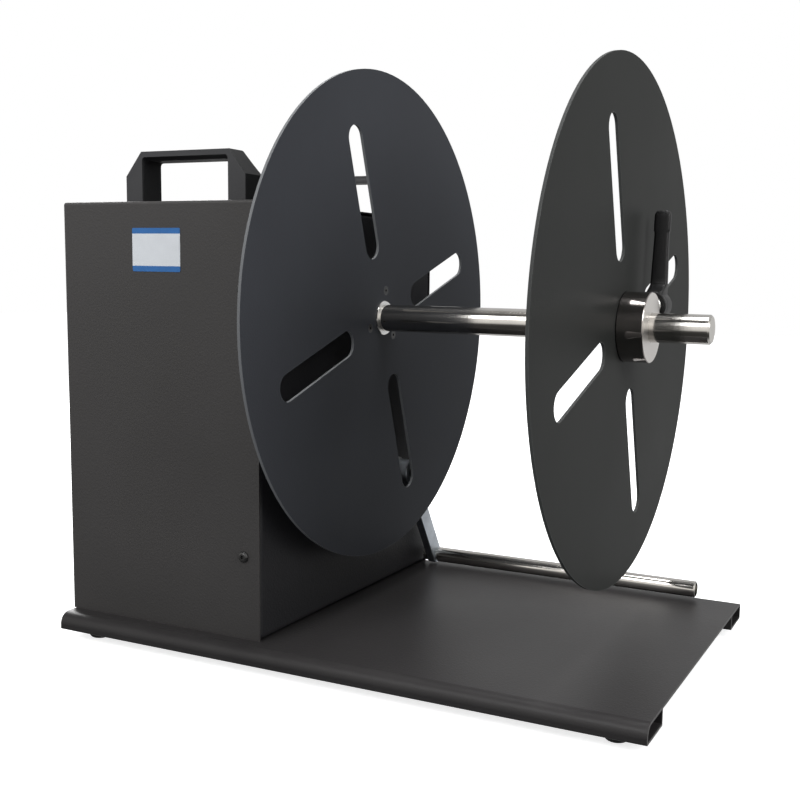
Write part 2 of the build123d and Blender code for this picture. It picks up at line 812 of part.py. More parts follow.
motor_front = -gearbox_size / 2
with BuildPart() as drive_motor:
    motor_axis = Axis((gearbox_mid, 0, drive_z), (0, 1, 0))
    with BuildSketch(Plane(origin=(gearbox_mid, 0, drive_z), x_dir=(0, 1, 0), z_dir=(1, 0, 0))):
        with BuildLine():
            Polyline(
                (motor_front, 0),
                (motor_front, motor_radius + 2),
                (motor_front - 6, motor_radius + 2),
                (motor_front - 6, motor_radius),
                (motor_front - motor_length + motor_cap, motor_radius),
                (motor_front - motor_length + motor_cap, motor_radius - 1.5),
                (motor_front - motor_length + 2, motor_radius - 1.5),
                (motor_front - motor_length, motor_radius - 3.5),
                (motor_front - motor_length, motor_tail_radius),
                (motor_front - motor_length - 3, motor_tail_radius),
                (motor_front - motor_length - 3, 0),
                close=True,
            )
        make_face()
    revolve(axis=motor_axis)
save(drive_motor, "drive_motor")

with BuildPart() as gearbox_screws:
    gearbox_screw_length = inner_plate_sheet + gearbox_screw_depth
    gearbox_screw = socket_screw(
        gearbox_screw_radius, gearbox_screw_length, gearbox_head_radius, gearbox_head_thick
    )
    for side_y in (-1, 1):
        for side_z in (-1, 1):
            place_y = side_y * gearbox_screw_spread / 2
            place_z = drive_z + side_z * gearbox_screw_spread / 2
            with Locations(Location((inner_x, place_y, place_z), (0, 90, 0))):
                add(gearbox_screw)
save(gearbox_screws, "gearbox_screws")

# ================================================================ flanges


def flange_disc(left_x, bore, screw_holes):
    with BuildPart() as disc:
        with BuildSketch(across(left_x, 0, spindle_z)):
            Circle(disc_radius)
            Circle(bore, mode=Mode.SUBTRACT)
            with PolarLocations(0, slot_count, start_angle=90 + slot_lean):
                with Locations(((slot_inner + slot_outer) / 2, 0)):
                    SlotCenterToCenter(slot_outer - slot_inner, 2 * slot_radius, mode=Mode.SUBTRACT)
            with PolarLocations(flange_screw_pitch_radius, 3, start_angle=90 - flange_screw_first):
                Circle(screw_holes, mode=Mode.SUBTRACT)
        extrude(amount=disc_sheet)
    return disc


def countersunk(face_x, direction):
    # three countersunk screws through a disc, heads flush with face_x, shanks along direction
    head_depth = flange_screw_head - flange_screw_radius
    with BuildPart() as screws:
        with BuildSketch(Plane.XZ):
            with BuildLine():
                Polyline(
                    (0, 0),
                    (flange_screw_head, 0),
                    (flange_screw_radius, head_depth),
                    (flange_screw_radius, flange_screw_length),
                    (0, flange_screw_length),
                    close=True,
                )
            make_face()
        revolve(axis=Axis.Z)
        with BuildSketch(Plane.XY):
            RegularPolygon(1.25, 6, major_radius=False)
        extrude(amount=1.6, mode=Mode.SUBTRACT)
    single = screws.part
    with BuildPart() as trio:
        for turn in range(3):
            angle = radians(90 - flange_screw_first + 120 * turn)
            y = flange_screw_pitch_radius * cos(angle)
            z = spindle_z + flange_screw_pitch_radius * sin(angle)
            with Locations(Location((face_x, y, z), (0, 90 * direction, 0))):
                add(single)
    return trio


def countersink(face_x, direction):
    # the cones that those screws sit in, and their holes
    head_depth = flange_screw_head - flange_screw_radius
    clear = screw_fit
    shapes = []
    for turn in range(3):
        angle = radians(90 - flange_screw_first + 120 * turn)
        y = flange_screw_pitch_radius * cos(angle)
        z = spindle_z + flange_screw_pitch_radius * sin(angle)
        outline = [
            (face_x - direction, 0),
            (face_x - direction, flange_screw_head + clear),
            (face_x, flange_screw_head + clear),
            (face_x + direction * head_depth, flange_screw_radius + clear),
            (face_x + direction * (flange_screw_length + 1), flange_screw_radius + clear),
            (face_x + direction * (flange_screw_length + 1), 0),
        ]
        shapes.append(turned(outline, y, z))
    return shapes


back_disc = flange_disc(back_face_x - disc_sheet, hub_spigot_radius + fixed_fit, flange_screw_radius)
with back_disc:
    for cone in countersink(back_face_x, -1):
        add(cone, mode=Mode.SUBTRACT)
save(back_disc, "back_flange_disc")

hub_left = wall_x + hub_wall_gap
disc_left = back_face_x - disc_sheet
with BuildPart() as back_flange_hub:
    add(
        turned(
            [
                (hub_left, spindle_radius + fixed_fit),
                (hub_left, hub_barrel_radius - 1),
                (hub_left + 1, hub_barrel_radius),
                (disc_left - hub_flange_thick, hub_barrel_radius),
                (disc_left - hub_flange_thick, hub_flange_radius),
                (disc_left, hub_flange_radius),
                (disc_left, hub_spigot_radius),
                (back_face_x + hub_spigot_stand - 0.5, hub_spigot_radius),
                (back_face_x + hub_spigot_stand, hub_spigot_radius - 0.5),
                (back_face_x + hub_spigot_stand, spindle_radius + fixed_fit),
            ],
            0,
            spindle_z,
        )
    )
    for cone in countersink(back_face_x, -1):
        add(cone, mode=Mode.SUBTRACT)
    set_screw_x = (hub_left + disc_left - hub_flange_thick) / 2
    with BuildSketch(Plane.XY.offset(spindle_z)):
        with Locations((set_screw_x, 0)):
            Circle(2.5 + screw_fit)
    extrude(amount=hub_barrel_radius + 1, mode=Mode.SUBTRACT)
save(back_flange_hub, "back_flange_hub")

with BuildPart() as hub_set_screw:
    set_screw_length = hub_barrel_radius - spindle_radius - 1.5
    with BuildSketch(Plane.XY.offset(spindle_z + spindle_radius + 0.1)):
        with Locations((set_screw_x, 0)):
            Circle(2.5)
    extrude(amount=set_screw_length)
    with BuildSketch(Plane.XY.offset(spindle_z + spindle_radius + 0.1 + set_screw_length)):
        with Locations((set_screw_x, 0)):
            RegularPolygon(1.25, 6, major_radius=False)
    extrude(amount=-3, mode=Mode.SUBTRACT)
save(hub_set_screw, "hub_set_screw")

back_screws = countersunk(back_face_x, -1)
save(back_screws, "back_flange_screws")

outer_left = outer_face_x - disc_sheet
outer_disc = flange_disc(outer_left, collar_spigot_radius + fixed_fit, flange_screw_radius)
with outer_disc:
    for cone in countersink(outer_left, 1):
        add(cone, mode=Mode.SUBTRACT)
save(outer_disc, "outer_flange_disc")

spigot_left = outer_left - hub_spigot_stand
with BuildPart() as outer_hub_collar:
    add(
        turned(
            [
                (spigot_left, spindle_radius + sliding_fit),
                (spigot_left, collar_spigot_radius - 0.5),
                (spigot_left + 0.5, collar_spigot_radius),
                (outer_face_x, collar_spigot_radius),
                (outer_face_x, collar_radius),
                (collar_face_x - collar_edge, collar_radius),
                (collar_face_x, collar_radius - collar_edge),
                (collar_face_x, spindle_radius + sliding_fit),
            ],
            0,
            spindle_z,
        )
    )
    for cone in countersink(outer_left, 1):
        add(cone, mode=Mode.SUBTRACT)
    # the blind cross bore for the wedge plug, and the flat round its mouth
    with BuildSketch(upright(-plug_length / 2 - 1, clamp_x, clamp_z)):
        Circle(plug_radius + sliding_fit)
    extrude(amount=-(collar_radius + plug_length), mode=Mode.SUBTRACT)
    with BuildSketch(upright(spot_face, clamp_x, clamp_z)):
        Circle(lever_boss_radius + 2)
    extrude(amount=-collar_radius, mode=Mode.SUBTRACT)
save(outer_hub_collar, "outer_hub_collar")

outer_screws = countersunk(outer_left, 1)
save(outer_screws, "outer_flange_screws")

# ================================================================ clamp
plug_end = plug_length / 2
stud_end = spot_face + insert_flange + insert_length - 2
scoop_gap = 0.1
with BuildPart() as clamp_plug:
    with BuildSketch(upright(-plug_end, clamp_x, clamp_z)):
        Circle(plug_radius)
    extrude(amount=-plug_length)
    with BuildSketch(upright(plug_end, clamp_x, clamp_z)):
        Circle(stud_radius)
    extrude(amount=-(stud_end - plug_end))
    add(
        tube(clamp_x - 2 * plug_radius, 4 * plug_radius, spindle_radius + scoop_gap, 0, 0, spindle_z),
        mode=Mode.SUBTRACT,
    )
save(clamp_plug, "clamp_plug")

insert_base = spot_face + sheet_gap
insert_shoulder = insert_base + insert_flange
insert_end = insert_shoulder + insert_length
with BuildPart() as clamp_insert:
    with BuildSketch(upright(insert_base, clamp_x, clamp_z)):
        Circle(insert_flange_radius)
    extrude(amount=-insert_flange)
    chamfer(clamp_insert.edges().filter_by(GeomType.CIRCLE).sort_by(Axis.Y)[0], length=0.8)
    with BuildSketch(upright(insert_shoulder, clamp_x, clamp_z)):
        Circle(insert_radius)
        with PolarLocations(insert_radius, insert_spline_count):
            RegularPolygon(insert_spline, 3)
    extrude(amount=-insert_length)
    with BuildSketch(upright(insert_base, clamp_x, clamp_z)):
        Circle(stud_radius + sliding_fit)
    extrude(amount=-(insert_flange + insert_length - 1), mode=Mode.SUBTRACT)
    with BuildSketch(upright(insert_end, clamp_x, clamp_z)):
        Circle(lever_screw_radius + fixed_fit)
    extrude(amount=insert_tap, mode=Mode.SUBTRACT)
save(clamp_insert, "clamp_insert")

boss_base = insert_shoulder + 0.8
boss_end = boss_base + lever_boss_depth
web_base = insert_end + 0.5
web_end = web_base + lever_web
half_root = lever_root_width / 2
half_neck = lever_neck_width / 2
half_pad = lever_pad_width / 2
pad_base = lever_length - lever_pad_length
arm_root = boss_end - lever_thick
with BuildPart() as clamp_lever:
    # the front view: round boss, tapered shank, then the finger pad with its small step
    with BuildSketch(upright(boss_base, clamp_x, clamp_z)):
        Circle(lever_boss_radius)
        with BuildLine():
            Polyline(
                (-half_root, 0),
                (-half_root, lever_boss_radius + 4),
                (-half_neck, pad_base),
                (-half_pad, pad_base),
                (-half_pad, lever_length - 5),
                (-half_pad + 5, lever_length),
                (half_pad - 5, lever_length),
                (half_pad, lever_length - 5),
                (half_pad, pad_base),
                (half_neck, pad_base),
                (half_root, lever_boss_radius + 4),
                (half_root, 0),
                close=True,
            )
        make_face()
    extrude(amount=-(lever_boss_depth + lever_lean + lever_thick))
    # the side view: the boss stands square on the hub, and the arm leans away from the disc's middle
    with BuildSketch(across(clamp_x, 0, clamp_z)):
        with BuildLine():
            Polyline(
                (boss_base, -lever_boss_radius),
                (boss_end - 1.5, -lever_boss_radius),
                (boss_end, -lever_boss_radius + 1.5),
                (boss_end, lever_boss_radius * 0.6),
                (boss_end + lever_lean, lever_length),
                (boss_end + lever_lean - lever_thick + 2, lever_length),
                (arm_root + 2, lever_boss_radius + 6),
                (boss_base, lever_boss_radius * 0.85),
                close=True,
            )
        make_face()
    extrude(amount=lever_boss_radius + 1, both=True, mode=Mode.INTERSECT)
    with BuildSketch(upright(boss_base, clamp_x, clamp_z)):
        Circle(insert_radius + insert_spline + sheet_gap)
    extrude(amount=-(web_base - boss_base), mode=Mode.SUBTRACT)
    with BuildSketch(upright(web_base, clamp_x, clamp_z)):
        Circle(lever_screw_radius + screw_fit)
    extrude(amount=-lever_web, mode=Mode.SUBTRACT)
    with BuildSketch(upright(web_end, clamp_x, clamp_z)):
        Circle(lever_screw_head + 4 * screw_fit)
    extrude(amount=-(lever_boss_depth + lever_lean), mode=Mode.SUBTRACT)
save(clamp_lever, "clamp_lever")

lever_head_base = web_end + lever_lift + 0.5
with BuildPart() as lever_screw:
    screw_blank = socket_screw(
        lever_screw_radius, lever_head_base - insert_end + insert_tap * 0.75, lever_screw_head, lever_screw_head_thick
    )
    with Locations(Location((clamp_x, lever_head_base, clamp_z), (-90, 0, 0))):
        add(screw_blank)
save(lever_screw, "lever_screw")

# ================================================================ dancer arm
nose_radius = dancer_housing_radius - 2
housing_left = wall_inside - dancer_housing_length
with BuildPart() as dancer_housing:
    add(
        turned(
            [
                (housing_left, dancer_shaft_radius + sliding_fit),
                (housing_left, dancer_housing_radius),
                (wall_inside - dancer_flange, dancer_housing_radius),
                (wall_inside - dancer_flange, dancer_flange_radius),
                (wall_inside, dancer_flange_radius),
                (wall_inside, nose_radius),
                (wall_x + dancer_nose, nose_radius),
                (wall_x + dancer_nose, dancer_shaft_radius + sliding_fit),
            ],
            dancer_y,
            dancer_z,
        )
    )
save(dancer_housing, "dancer_housing")

arm_counterbore_x = arm_face_x - arm_counterbore
shaft_end = arm_counterbore_x - arm_web
shaft_start = shaft_end - dancer_shaft_length
with BuildPart() as dancer_shaft:
    add(tube(shaft_start, dancer_shaft_length, dancer_shaft_radius, 0, dancer_y, dancer_z))
    add(
        tube(shaft_end - arm_screw_length, arm_screw_length, arm_screw_radius + fixed_fit, 0, dancer_y, dancer_z),
        mode=Mode.SUBTRACT,
    )
save(dancer_shaft, "dancer_shaft")

down_arm = -90 + dancer_angle
with BuildPart() as dancer_arm:
    with BuildSketch(across(arm_x, dancer_y, dancer_z)):
        with Locations(Location((0, 0, 0), (0, 0, 1), down_arm)):
            with Locations((dancer_length / 2, 0)):
                SlotCenterToCenter(dancer_length, arm_width)
        Circle(arm_boss_radius)
    extrude(amount=arm_thick)
    bar_edges = dancer_arm.faces().sort_by(Axis.X)[-1].edges()
    chamfer(bar_edges, length=0.6)
    boss_x = wall_x + arm_boss_gap
    add(tube(boss_x, arm_x - boss_x, arm_boss_radius, 0, dancer_y, dancer_z))
    for start, end, radius in (
        (boss_x, shaft_end, dancer_shaft_radius + fixed_fit),
        (shaft_end, arm_counterbore_x, arm_screw_radius + screw_fit),
        (arm_counterbore_x, arm_face_x, arm_screw_head + 1),
    ):
        add(tube(start, end - start, radius, 0, dancer_y, dancer_z), mode=Mode.SUBTRACT)
    add(tube(arm_x, arm_thick, roller_axle_radius + fixed_fit, 0, roller_y, roller_z), mode=Mode.SUBTRACT)
save(dancer_arm, "dancer_arm")

with BuildPart() as dancer_arm_screw:
    arm_screw = socket_screw(
        arm_screw_radius, arm_web + arm_screw_length * 0.9, arm_screw_head, arm_screw_head_thick
    )
    with Locations(Location((arm_counterbore_x, dancer_y, dancer_z), (0, 90, 0))):
        add(arm_screw)
save(dancer_arm_screw, "dancer_arm_screw")

cam_left = shaft_start + 1
with BuildPart() as dancer_cam:
    with BuildSketch(across(cam_left, dancer_y, dancer_z)):
        Circle(cam_radius)
        with Locations((0, cam_lobe)):
            Circle(cam_radius - 3)
        make_hull()
        Circle(dancer_shaft_radius + fixed_fit, mode=Mode.SUBTRACT)
    extrude(amount=cam_width)
save(dancer_cam, "dancer_cam")

switch_length = 28
switch_height = 16
switch_base = dancer_z + cam_lobe + cam_radius - 3 + 0.5
switch_leaf = 3
bracket_sheet = 1.5
bracket_leaf = 16
with BuildPart() as arm_switch:
    with BuildSketch(Plane.XY.offset(switch_base + switch_leaf)):
        with Locations((cam_left + cam_width / 2, dancer_y)):
            RectangleRounded(cam_width, switch_length, 1)
    extrude(amount=switch_height)
    with BuildSketch(Plane.XY.offset(switch_base)):
        with Locations((cam_left + cam_width / 2, dancer_y)):
            Rectangle(4, 4)
    extrude(amount=switch_leaf)
save(arm_switch, "arm_switch")

bracket_z = switch_base + switch_leaf + switch_height
with BuildPart() as switch_bracket:
    with BuildSketch(upright(dancer_y - switch_length / 2, 0, 0)):
        with BuildLine():
            Polyline(
                (cam_left, bracket_z),
                (wall_inside, bracket_z),
                (wall_inside, bracket_z + bracket_leaf),
                (wall_inside - bracket_sheet, bracket_z + bracket_leaf),
                (wall_inside - bracket_sheet, bracket_z + bracket_sheet),
                (cam_left, bracket_z + bracket_sheet),
                close=True,
            )
        make_face()
    extrude(amount=-switch_length)
save(switch_bracket, "switch_bracket")

# ================================================================ roller
roller_left = arm_face_x + roller_gap
roller_right = wall_x + roller_end
tube_bore = roller_radius - roller_wall
axle_right = roller_right - roller_recess - end_screw_head_thick - 1.25
with BuildPart() as roller_tube:
    add(tube(roller_left + 0.3, roller_right - roller_left - 0.3, roller_radius, tube_bore, roller_y, roller_z))
    rims = roller_tube.edges().filter_by(GeomType.CIRCLE).group_by(Axis.X)
    chamfer(rims[-1].sort_by(SortBy.RADIUS)[-1], length=roller_chamfer)
    chamfer(rims[0].sort_by(SortBy.RADIUS)[-1], length=roller_chamfer)
save(roller_tube, "roller_tube")

with BuildPart() as roller_bushes:
    for bush_x in (roller_left + 0.3, axle_right - bush_length - 0.3):
        add(
            tube(
                bush_x,
                bush_length,
                tube_bore - fixed_fit,
                roller_axle_radius + sliding_fit,
                roller_y,
                roller_z,
            )
        )
save(roller_bushes, "roller_bushes")

axle_nut_x = arm_x - axle_nut_thick
with BuildPart() as roller_axle:
    add(tube(axle_nut_x - 0.5, axle_right - axle_nut_x + 0.5, roller_axle_radius, 0, roller_y, roller_z))
    add(tube(arm_face_x, roller_gap, roller_washer_radius, 0, roller_y, roller_z))
    tap_depth = end_screw_length * 1.15
    tap_radius = end_screw_radius + fixed_fit
    add(tube(axle_right - tap_depth, tap_depth, tap_radius, 0, roller_y, roller_z), mode=Mode.SUBTRACT)
save(roller_axle, "roller_axle")

with BuildPart() as roller_axle_nut:
    with BuildSketch(across(axle_nut_x, roller_y, roller_z)):
        RegularPolygon(axle_nut_across / 2, 6, major_radius=False)
        Circle(roller_axle_radius + fixed_fit, mode=Mode.SUBTRACT)
    extrude(amount=axle_nut_thick)
save(roller_axle_nut, "roller_axle_nut")

with BuildPart() as roller_end_screw:
    end_screw = socket_screw(end_screw_radius, end_screw_length, end_screw_head, end_screw_head_thick)
    with Locations(Location((axle_right, roller_y, roller_z), (0, 90, 0))):
        add(end_screw)
save(roller_end_screw, "roller_end_screw")

# ================================================================ electrics
supply_x = cabinet_left + cover_sheet + supply_gap
supply_y = panel_mid - supply_reach
with BuildPart() as power_supply:
    with BuildSketch(Plane.XY.offset(base_top)):
        with Locations((supply_x + supply_width / 2, supply_y)):
            Rectangle(supply_width, supply_length)
    extrude(amount=supply_height)
    chamfer(power_supply.edges().filter_by(Axis.Y).group_by(Axis.Z)[-1], length=1.5)
    # the terminal shelf at the rear end
    supply_rear = supply_y + supply_length / 2
    with BuildSketch(Plane.XY.offset(base_top + shelf_height)):
        with Locations((supply_x + supply_width / 2, supply_rear - shelf_depth / 2)):
            Rectangle(supply_width * 0.92, shelf_depth)
    extrude(amount=supply_height, mode=Mode.SUBTRACT)
    with BuildSketch(Plane.XY.offset(base_top + shelf_height)):
        with Locations((supply_x + supply_width / 2, supply_rear - shelf_depth * 0.6)):
            with GridLocations(terminal_pitch, 0, terminal_count, 1):
                Rectangle(terminal_width, terminal_height)
    extrude(amount=terminal_height)
save(power_supply, "power_supply")

board_z = spindle_z - board_drop
board_x = inner_back - board_standoff - board_thick
board_post_y = board_length - 2 * board_post_inset
board_post_z = board_height - 2 * board_post_inset
with BuildPart() as board_standoffs:
    with Locations(across(inner_back - board_standoff, board_y, board_z)):
        with GridLocations(board_post_y, board_post_z, 2, 2):
            Cylinder(board_standoff_radius, board_standoff, align=(Align.CENTER, Align.CENTER, Align.MIN))
save(board_standoffs, "board_standoffs")

with BuildPart() as control_board:
    with BuildSketch(across(board_x, board_y, board_z)):
        Rectangle(board_length, board_height)
    extrude(amount=board_thick)
    with BuildSketch(across(board_x, board_y, board_z)):
        with Locations((-board_length * 0.28, board_height * 0.3), (-board_length * 0.02, board_height * 0.3)):
            Circle(board_length * 0.1)
        with Locations((0, -board_height * 0.03)):
            Rectangle(board_length * 0.6, board_height * 0.22)
        with Locations((-board_length * 0.13, -board_height * 0.34)):
            Rectangle(board_length * 0.4, board_height * 0.15)
        with Locations((board_length * 0.33, board_height * 0.25)):
            Rectangle(board_length * 0.18, board_height * 0.28)
    extrude(amount=-board_part_height)
save(control_board, "control_board")

panel_inside = cabinet_left + cover_sheet
inlet_body = (inlet_width - 2 * inlet_flange - 0.6, inlet_height - 2 * inlet_flange - 0.6)
with BuildPart() as power_inlet:
    with BuildSketch(across(cabinet_left, *inlet_place)):
        RectangleRounded(inlet_width, inlet_height, 3)
    extrude(amount=-inlet_flange)
    with BuildSketch(across(cabinet_left, *inlet_place)):
        Rectangle(*inlet_body)
    extrude(amount=inlet_depth)
    with BuildSketch(across(cabinet_left - inlet_flange, *inlet_place)):
        Rectangle(inlet_mouth_width, inlet_mouth_height)
    extrude(amount=inlet_recess, mode=Mode.SUBTRACT)
    with BuildSketch(across(cabinet_left - inlet_flange + inlet_recess, *inlet_place)):
        with Locations((-inlet_pin_pitch, inlet_pin / 2), (inlet_pin_pitch, inlet_pin / 2), (0, -inlet_pin / 2)):
            Rectangle(inlet_pin * 0.4, inlet_pin)
    extrude(amount=-inlet_pin_length)
save(power_inlet, "power_inlet")

frame_outer = (switch_hole[0] + 2 * rocker_frame_width, switch_hole[1] + 2 * rocker_frame_width)
with BuildPart() as switch_frames:
    for place in (direction_place, power_place):
        with BuildSketch(across(cabinet_left, *place)):
            RectangleRounded(*frame_outer, 1.5)
        extrude(amount=-rocker_frame)
        with BuildSketch(across(cabinet_left, *place)):
            Rectangle(switch_hole[0] - 2 * sheet_gap, switch_hole[1] - 2 * sheet_gap)
        extrude(amount=rocker_depth)
        with BuildSketch(across(cabinet_left - rocker_frame, *place)):
            Rectangle(rocker_width - 2 * sheet_gap, rocker_height - 2 * sheet_gap)
        extrude(amount=rocker_depth, mode=Mode.SUBTRACT)
save(switch_frames, "switch_frames")

rocker_pivot = cabinet_left + 2
rocker_pin_radius = 1.5
rocker_half = rocker_height * 0.426
rocker_reach = rocker_height * 0.29
rocker_root = rocker_height * 0.21
for rocker_name, place, tilt in (
    ("power_rocker", power_place, rocker_tilt),
    ("direction_rocker", direction_place, 0),
):
    with BuildPart() as rocker:
        # two flats that meet in a shallow valley; the power one is drawn pressed in at one end
        tilted_x = (cos(radians(tilt)), 0, sin(radians(tilt)))
        rocker_origin = (rocker_pivot, place[0], place[1])
        with BuildSketch(Plane(origin=rocker_origin, x_dir=tilted_x, z_dir=(0, -1, 0))):
            with BuildLine():
                Polyline(
                    (-rocker_reach, rocker_half),
                    (-rocker_reach * 0.7, 0),
                    (-rocker_reach, -rocker_half),
                    (-rocker_reach * 0.45, -rocker_half),
                    (rocker_root, -rocker_root),
                    (rocker_root, rocker_root),
                    (-rocker_reach * 0.45, rocker_half),
                    close=True,
                )
            make_face()
        extrude(amount=(rocker_width - 6 * sheet_gap) / 2, both=True)
        with BuildSketch(upright(place[0], rocker_pivot, place[1])):
            Circle(rocker_pin_radius)
        extrude(amount=rocker_width / 2 - sheet_gap - sliding_fit, both=True)
    save(rocker, rocker_name)

with BuildPart() as speed_potentiometer:
    add(tube(panel_inside + 0.5, pot_depth, pot_radius, 0, *knob_place))
    add(tube(cabinet_left - 2, cover_sheet + 3, pot_bush_radius, 0, *knob_place))
    with BuildSketch(across(cabinet_left - 2, *knob_place)):
        RegularPolygon(6, 6, major_radius=False)
        Circle(pot_bush_radius, mode=Mode.SUBTRACT)
    extrude(amount=2)
    bore_radius = pot_shaft_radius + sliding_fit
    add(tube(cabinet_left - 2, pot_bush_bore, bore_radius, 0, *knob_place), mode=Mode.SUBTRACT)
save(speed_potentiometer, "speed_potentiometer")

knob_tip = cabinet_left - knob_reach
with BuildPart() as speed_knob:
    add(
        turned(
            [
                (knob_tip, 0),
                (knob_tip, knob_radius - 2.5),
                (knob_tip + 1, knob_radius - 1.5),
                (knob_tip + knob_length - knob_skirt - 0.5, knob_radius - 1),
                (knob_tip + knob_length - knob_skirt, knob_radius),
                (knob_tip + knob_length, knob_radius),
                (knob_tip + knob_length, pot_bush_radius + 3),
                (knob_tip + knob_length - 2, pot_bush_radius + 3),
                (knob_tip + knob_length - 2, 0),
            ],
            *knob_place,
        )
    )
    with Locations(across(knob_tip + (knob_length - knob_skirt) / 2, *knob_place)):
        with PolarLocations(knob_radius, knob_flute_count):
            Cylinder(knob_flute, knob_length - knob_skirt - 1.6, mode=Mode.SUBTRACT)
    add(tube(knob_tip + knob_length - 2, 1.5 + pot_bush_bore, pot_shaft_radius, 0, *knob_place))
save(speed_knob, "speed_knob")
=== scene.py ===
from math import cos, pi, radians, sin, sqrt

import bmesh
import bpy
from mathutils import Matrix, Vector


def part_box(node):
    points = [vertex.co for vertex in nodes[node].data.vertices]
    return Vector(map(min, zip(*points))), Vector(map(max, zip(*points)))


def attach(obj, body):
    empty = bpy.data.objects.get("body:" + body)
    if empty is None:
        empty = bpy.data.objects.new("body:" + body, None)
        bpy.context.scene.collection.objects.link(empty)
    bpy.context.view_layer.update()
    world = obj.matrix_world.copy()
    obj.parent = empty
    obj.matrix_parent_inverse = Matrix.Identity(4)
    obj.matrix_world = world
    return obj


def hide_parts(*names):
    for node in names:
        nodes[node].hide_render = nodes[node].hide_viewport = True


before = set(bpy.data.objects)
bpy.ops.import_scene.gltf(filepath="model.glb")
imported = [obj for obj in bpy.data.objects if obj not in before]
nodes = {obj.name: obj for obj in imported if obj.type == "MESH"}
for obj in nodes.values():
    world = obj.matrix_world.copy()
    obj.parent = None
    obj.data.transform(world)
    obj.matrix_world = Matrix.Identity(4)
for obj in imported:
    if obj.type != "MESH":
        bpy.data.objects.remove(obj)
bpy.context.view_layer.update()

scene = bpy.context.scene
print("frame loaded,", len(nodes), "nodes")


# small helpers for materials: a material's own nodes, and groups that several of them share
def linkUp(tree, pairs):
    for source, target in pairs:
        tree.links.new(source, target)


def newGroup(name, inputs, outputs):
    # a shader group with named sockets: (name, kind, start value)
    tree = bpy.data.node_groups.new(name, "ShaderNodeTree")
    for label, kind, value in inputs:
        socket = tree.interface.new_socket(name=label, in_out="INPUT", socket_type=kind)
        if value is not None:
            socket.default_value = value
    for label, kind in outputs:
        tree.interface.new_socket(name=label, in_out="OUTPUT", socket_type=kind)
    inside = tree.nodes.new("NodeGroupInput")
    outside = tree.nodes.new("NodeGroupOutput")
    return tree, inside, outside


def addNode(tree, kind, **settings):
    node = tree.nodes.new(kind)
    for key, value in settings.items():
        if hasattr(node, key):
            setattr(node, key, value)
        else:
            node.inputs[key.replace("_", " ")].default_value = value
    return node


def addMath(tree, operation, first, second=None):
    node = tree.nodes.new("ShaderNodeMath")
    node.operation = operation
    for index, value in enumerate((first, second)):
        if value is None:
            continue
        if isinstance(value, (int, float)):
            node.inputs[index].default_value = value
        else:
            tree.links.new(value, node.inputs[index])
    return node.outputs[0]


def addRange(tree, value, fromLow, fromHigh, toLow, toHigh):
    node = tree.nodes.new("ShaderNodeMapRange")
    node.inputs["From Min"].default_value = fromLow
    node.inputs["From Max"].default_value = fromHigh
    node.inputs["To Min"].default_value = toLow
    node.inputs["To Max"].default_value = toHigh
    tree.links.new(value, node.inputs["Value"])
    return node.outputs["Result"]


def splitPlace(tree, kind="Object"):
    # X, Y and Z of the surface point, or of its normal, in the piece's own space
    place = addNode(tree, "ShaderNodeTexCoord")
    parts = addNode(tree, "ShaderNodeSeparateXYZ")
    tree.links.new(place.outputs[kind], parts.inputs[0])
    return parts.outputs


def cloudTone(tree, grain, low=0.0, high=1.0):
    # the coat's soft clouds, spread over a range
    return addRange(tree, grain.outputs["Cloud"], 0.3, 0.7, low, high)


def scaled(colour, share):
    return tuple(c * share for c in colour[:3]) + (1,)


def mixColour(tree, factor, first, second):
    node = tree.nodes.new("ShaderNodeMix")
    node.data_type = "RGBA"
    sockets = (node.inputs["Factor"], node.inputs[6], node.inputs[7])
    for socket, value in zip(sockets, (factor, first, second)):
        if isinstance(value, (int, float, tuple, list)):
            socket.default_value = value
        else:
            tree.links.new(value, socket)
    return node.outputs[2]


def coatGrainGroup():
    # powder coat: a fine orange-peel bump, with soft clouds in colour and gloss
    tree, inside, outside = newGroup(
        "coatGrain",
        [("Grain Size", "NodeSocketFloat", 900.0), ("Cloud Size", "NodeSocketFloat", 9.0)],
        [("Height", "NodeSocketFloat"), ("Cloud", "NodeSocketFloat"), ("Speck", "NodeSocketFloat")],
    )
    place = addNode(tree, "ShaderNodeTexCoord")
    grain = addNode(tree, "ShaderNodeTexNoise", Detail=4.0, Roughness=0.62)
    cells = addNode(tree, "ShaderNodeTexVoronoi", feature="SMOOTH_F1", Smoothness=0.6)
    cloud = addNode(tree, "ShaderNodeTexNoise", Detail=5.0, Roughness=0.55)
    linkUp(tree, [
        (place.outputs["Object"], grain.inputs["Vector"]),
        (place.outputs["Object"], cells.inputs["Vector"]),
        (place.outputs["Object"], cloud.inputs["Vector"]),
        (inside.outputs["Grain Size"], grain.inputs["Scale"]),
        (inside.outputs["Cloud Size"], cloud.inputs["Scale"]),
    ])
    tree.links.new(addMath(tree, "MULTIPLY", inside.outputs["Grain Size"], 0.7), cells.inputs["Scale"])
    peel = addMath(tree, "MULTIPLY", cells.outputs["Distance"], 0.6)
    height = addMath(tree, "ADD", grain.outputs["Fac"], peel)
    tree.links.new(height, outside.inputs["Height"])
    tree.links.new(cloud.outputs["Fac"], outside.inputs["Cloud"])
    tree.links.new(addRange(tree, grain.outputs["Fac"], 0.62, 0.72, 0.0, 1.0), outside.inputs["Speck"])
    return tree


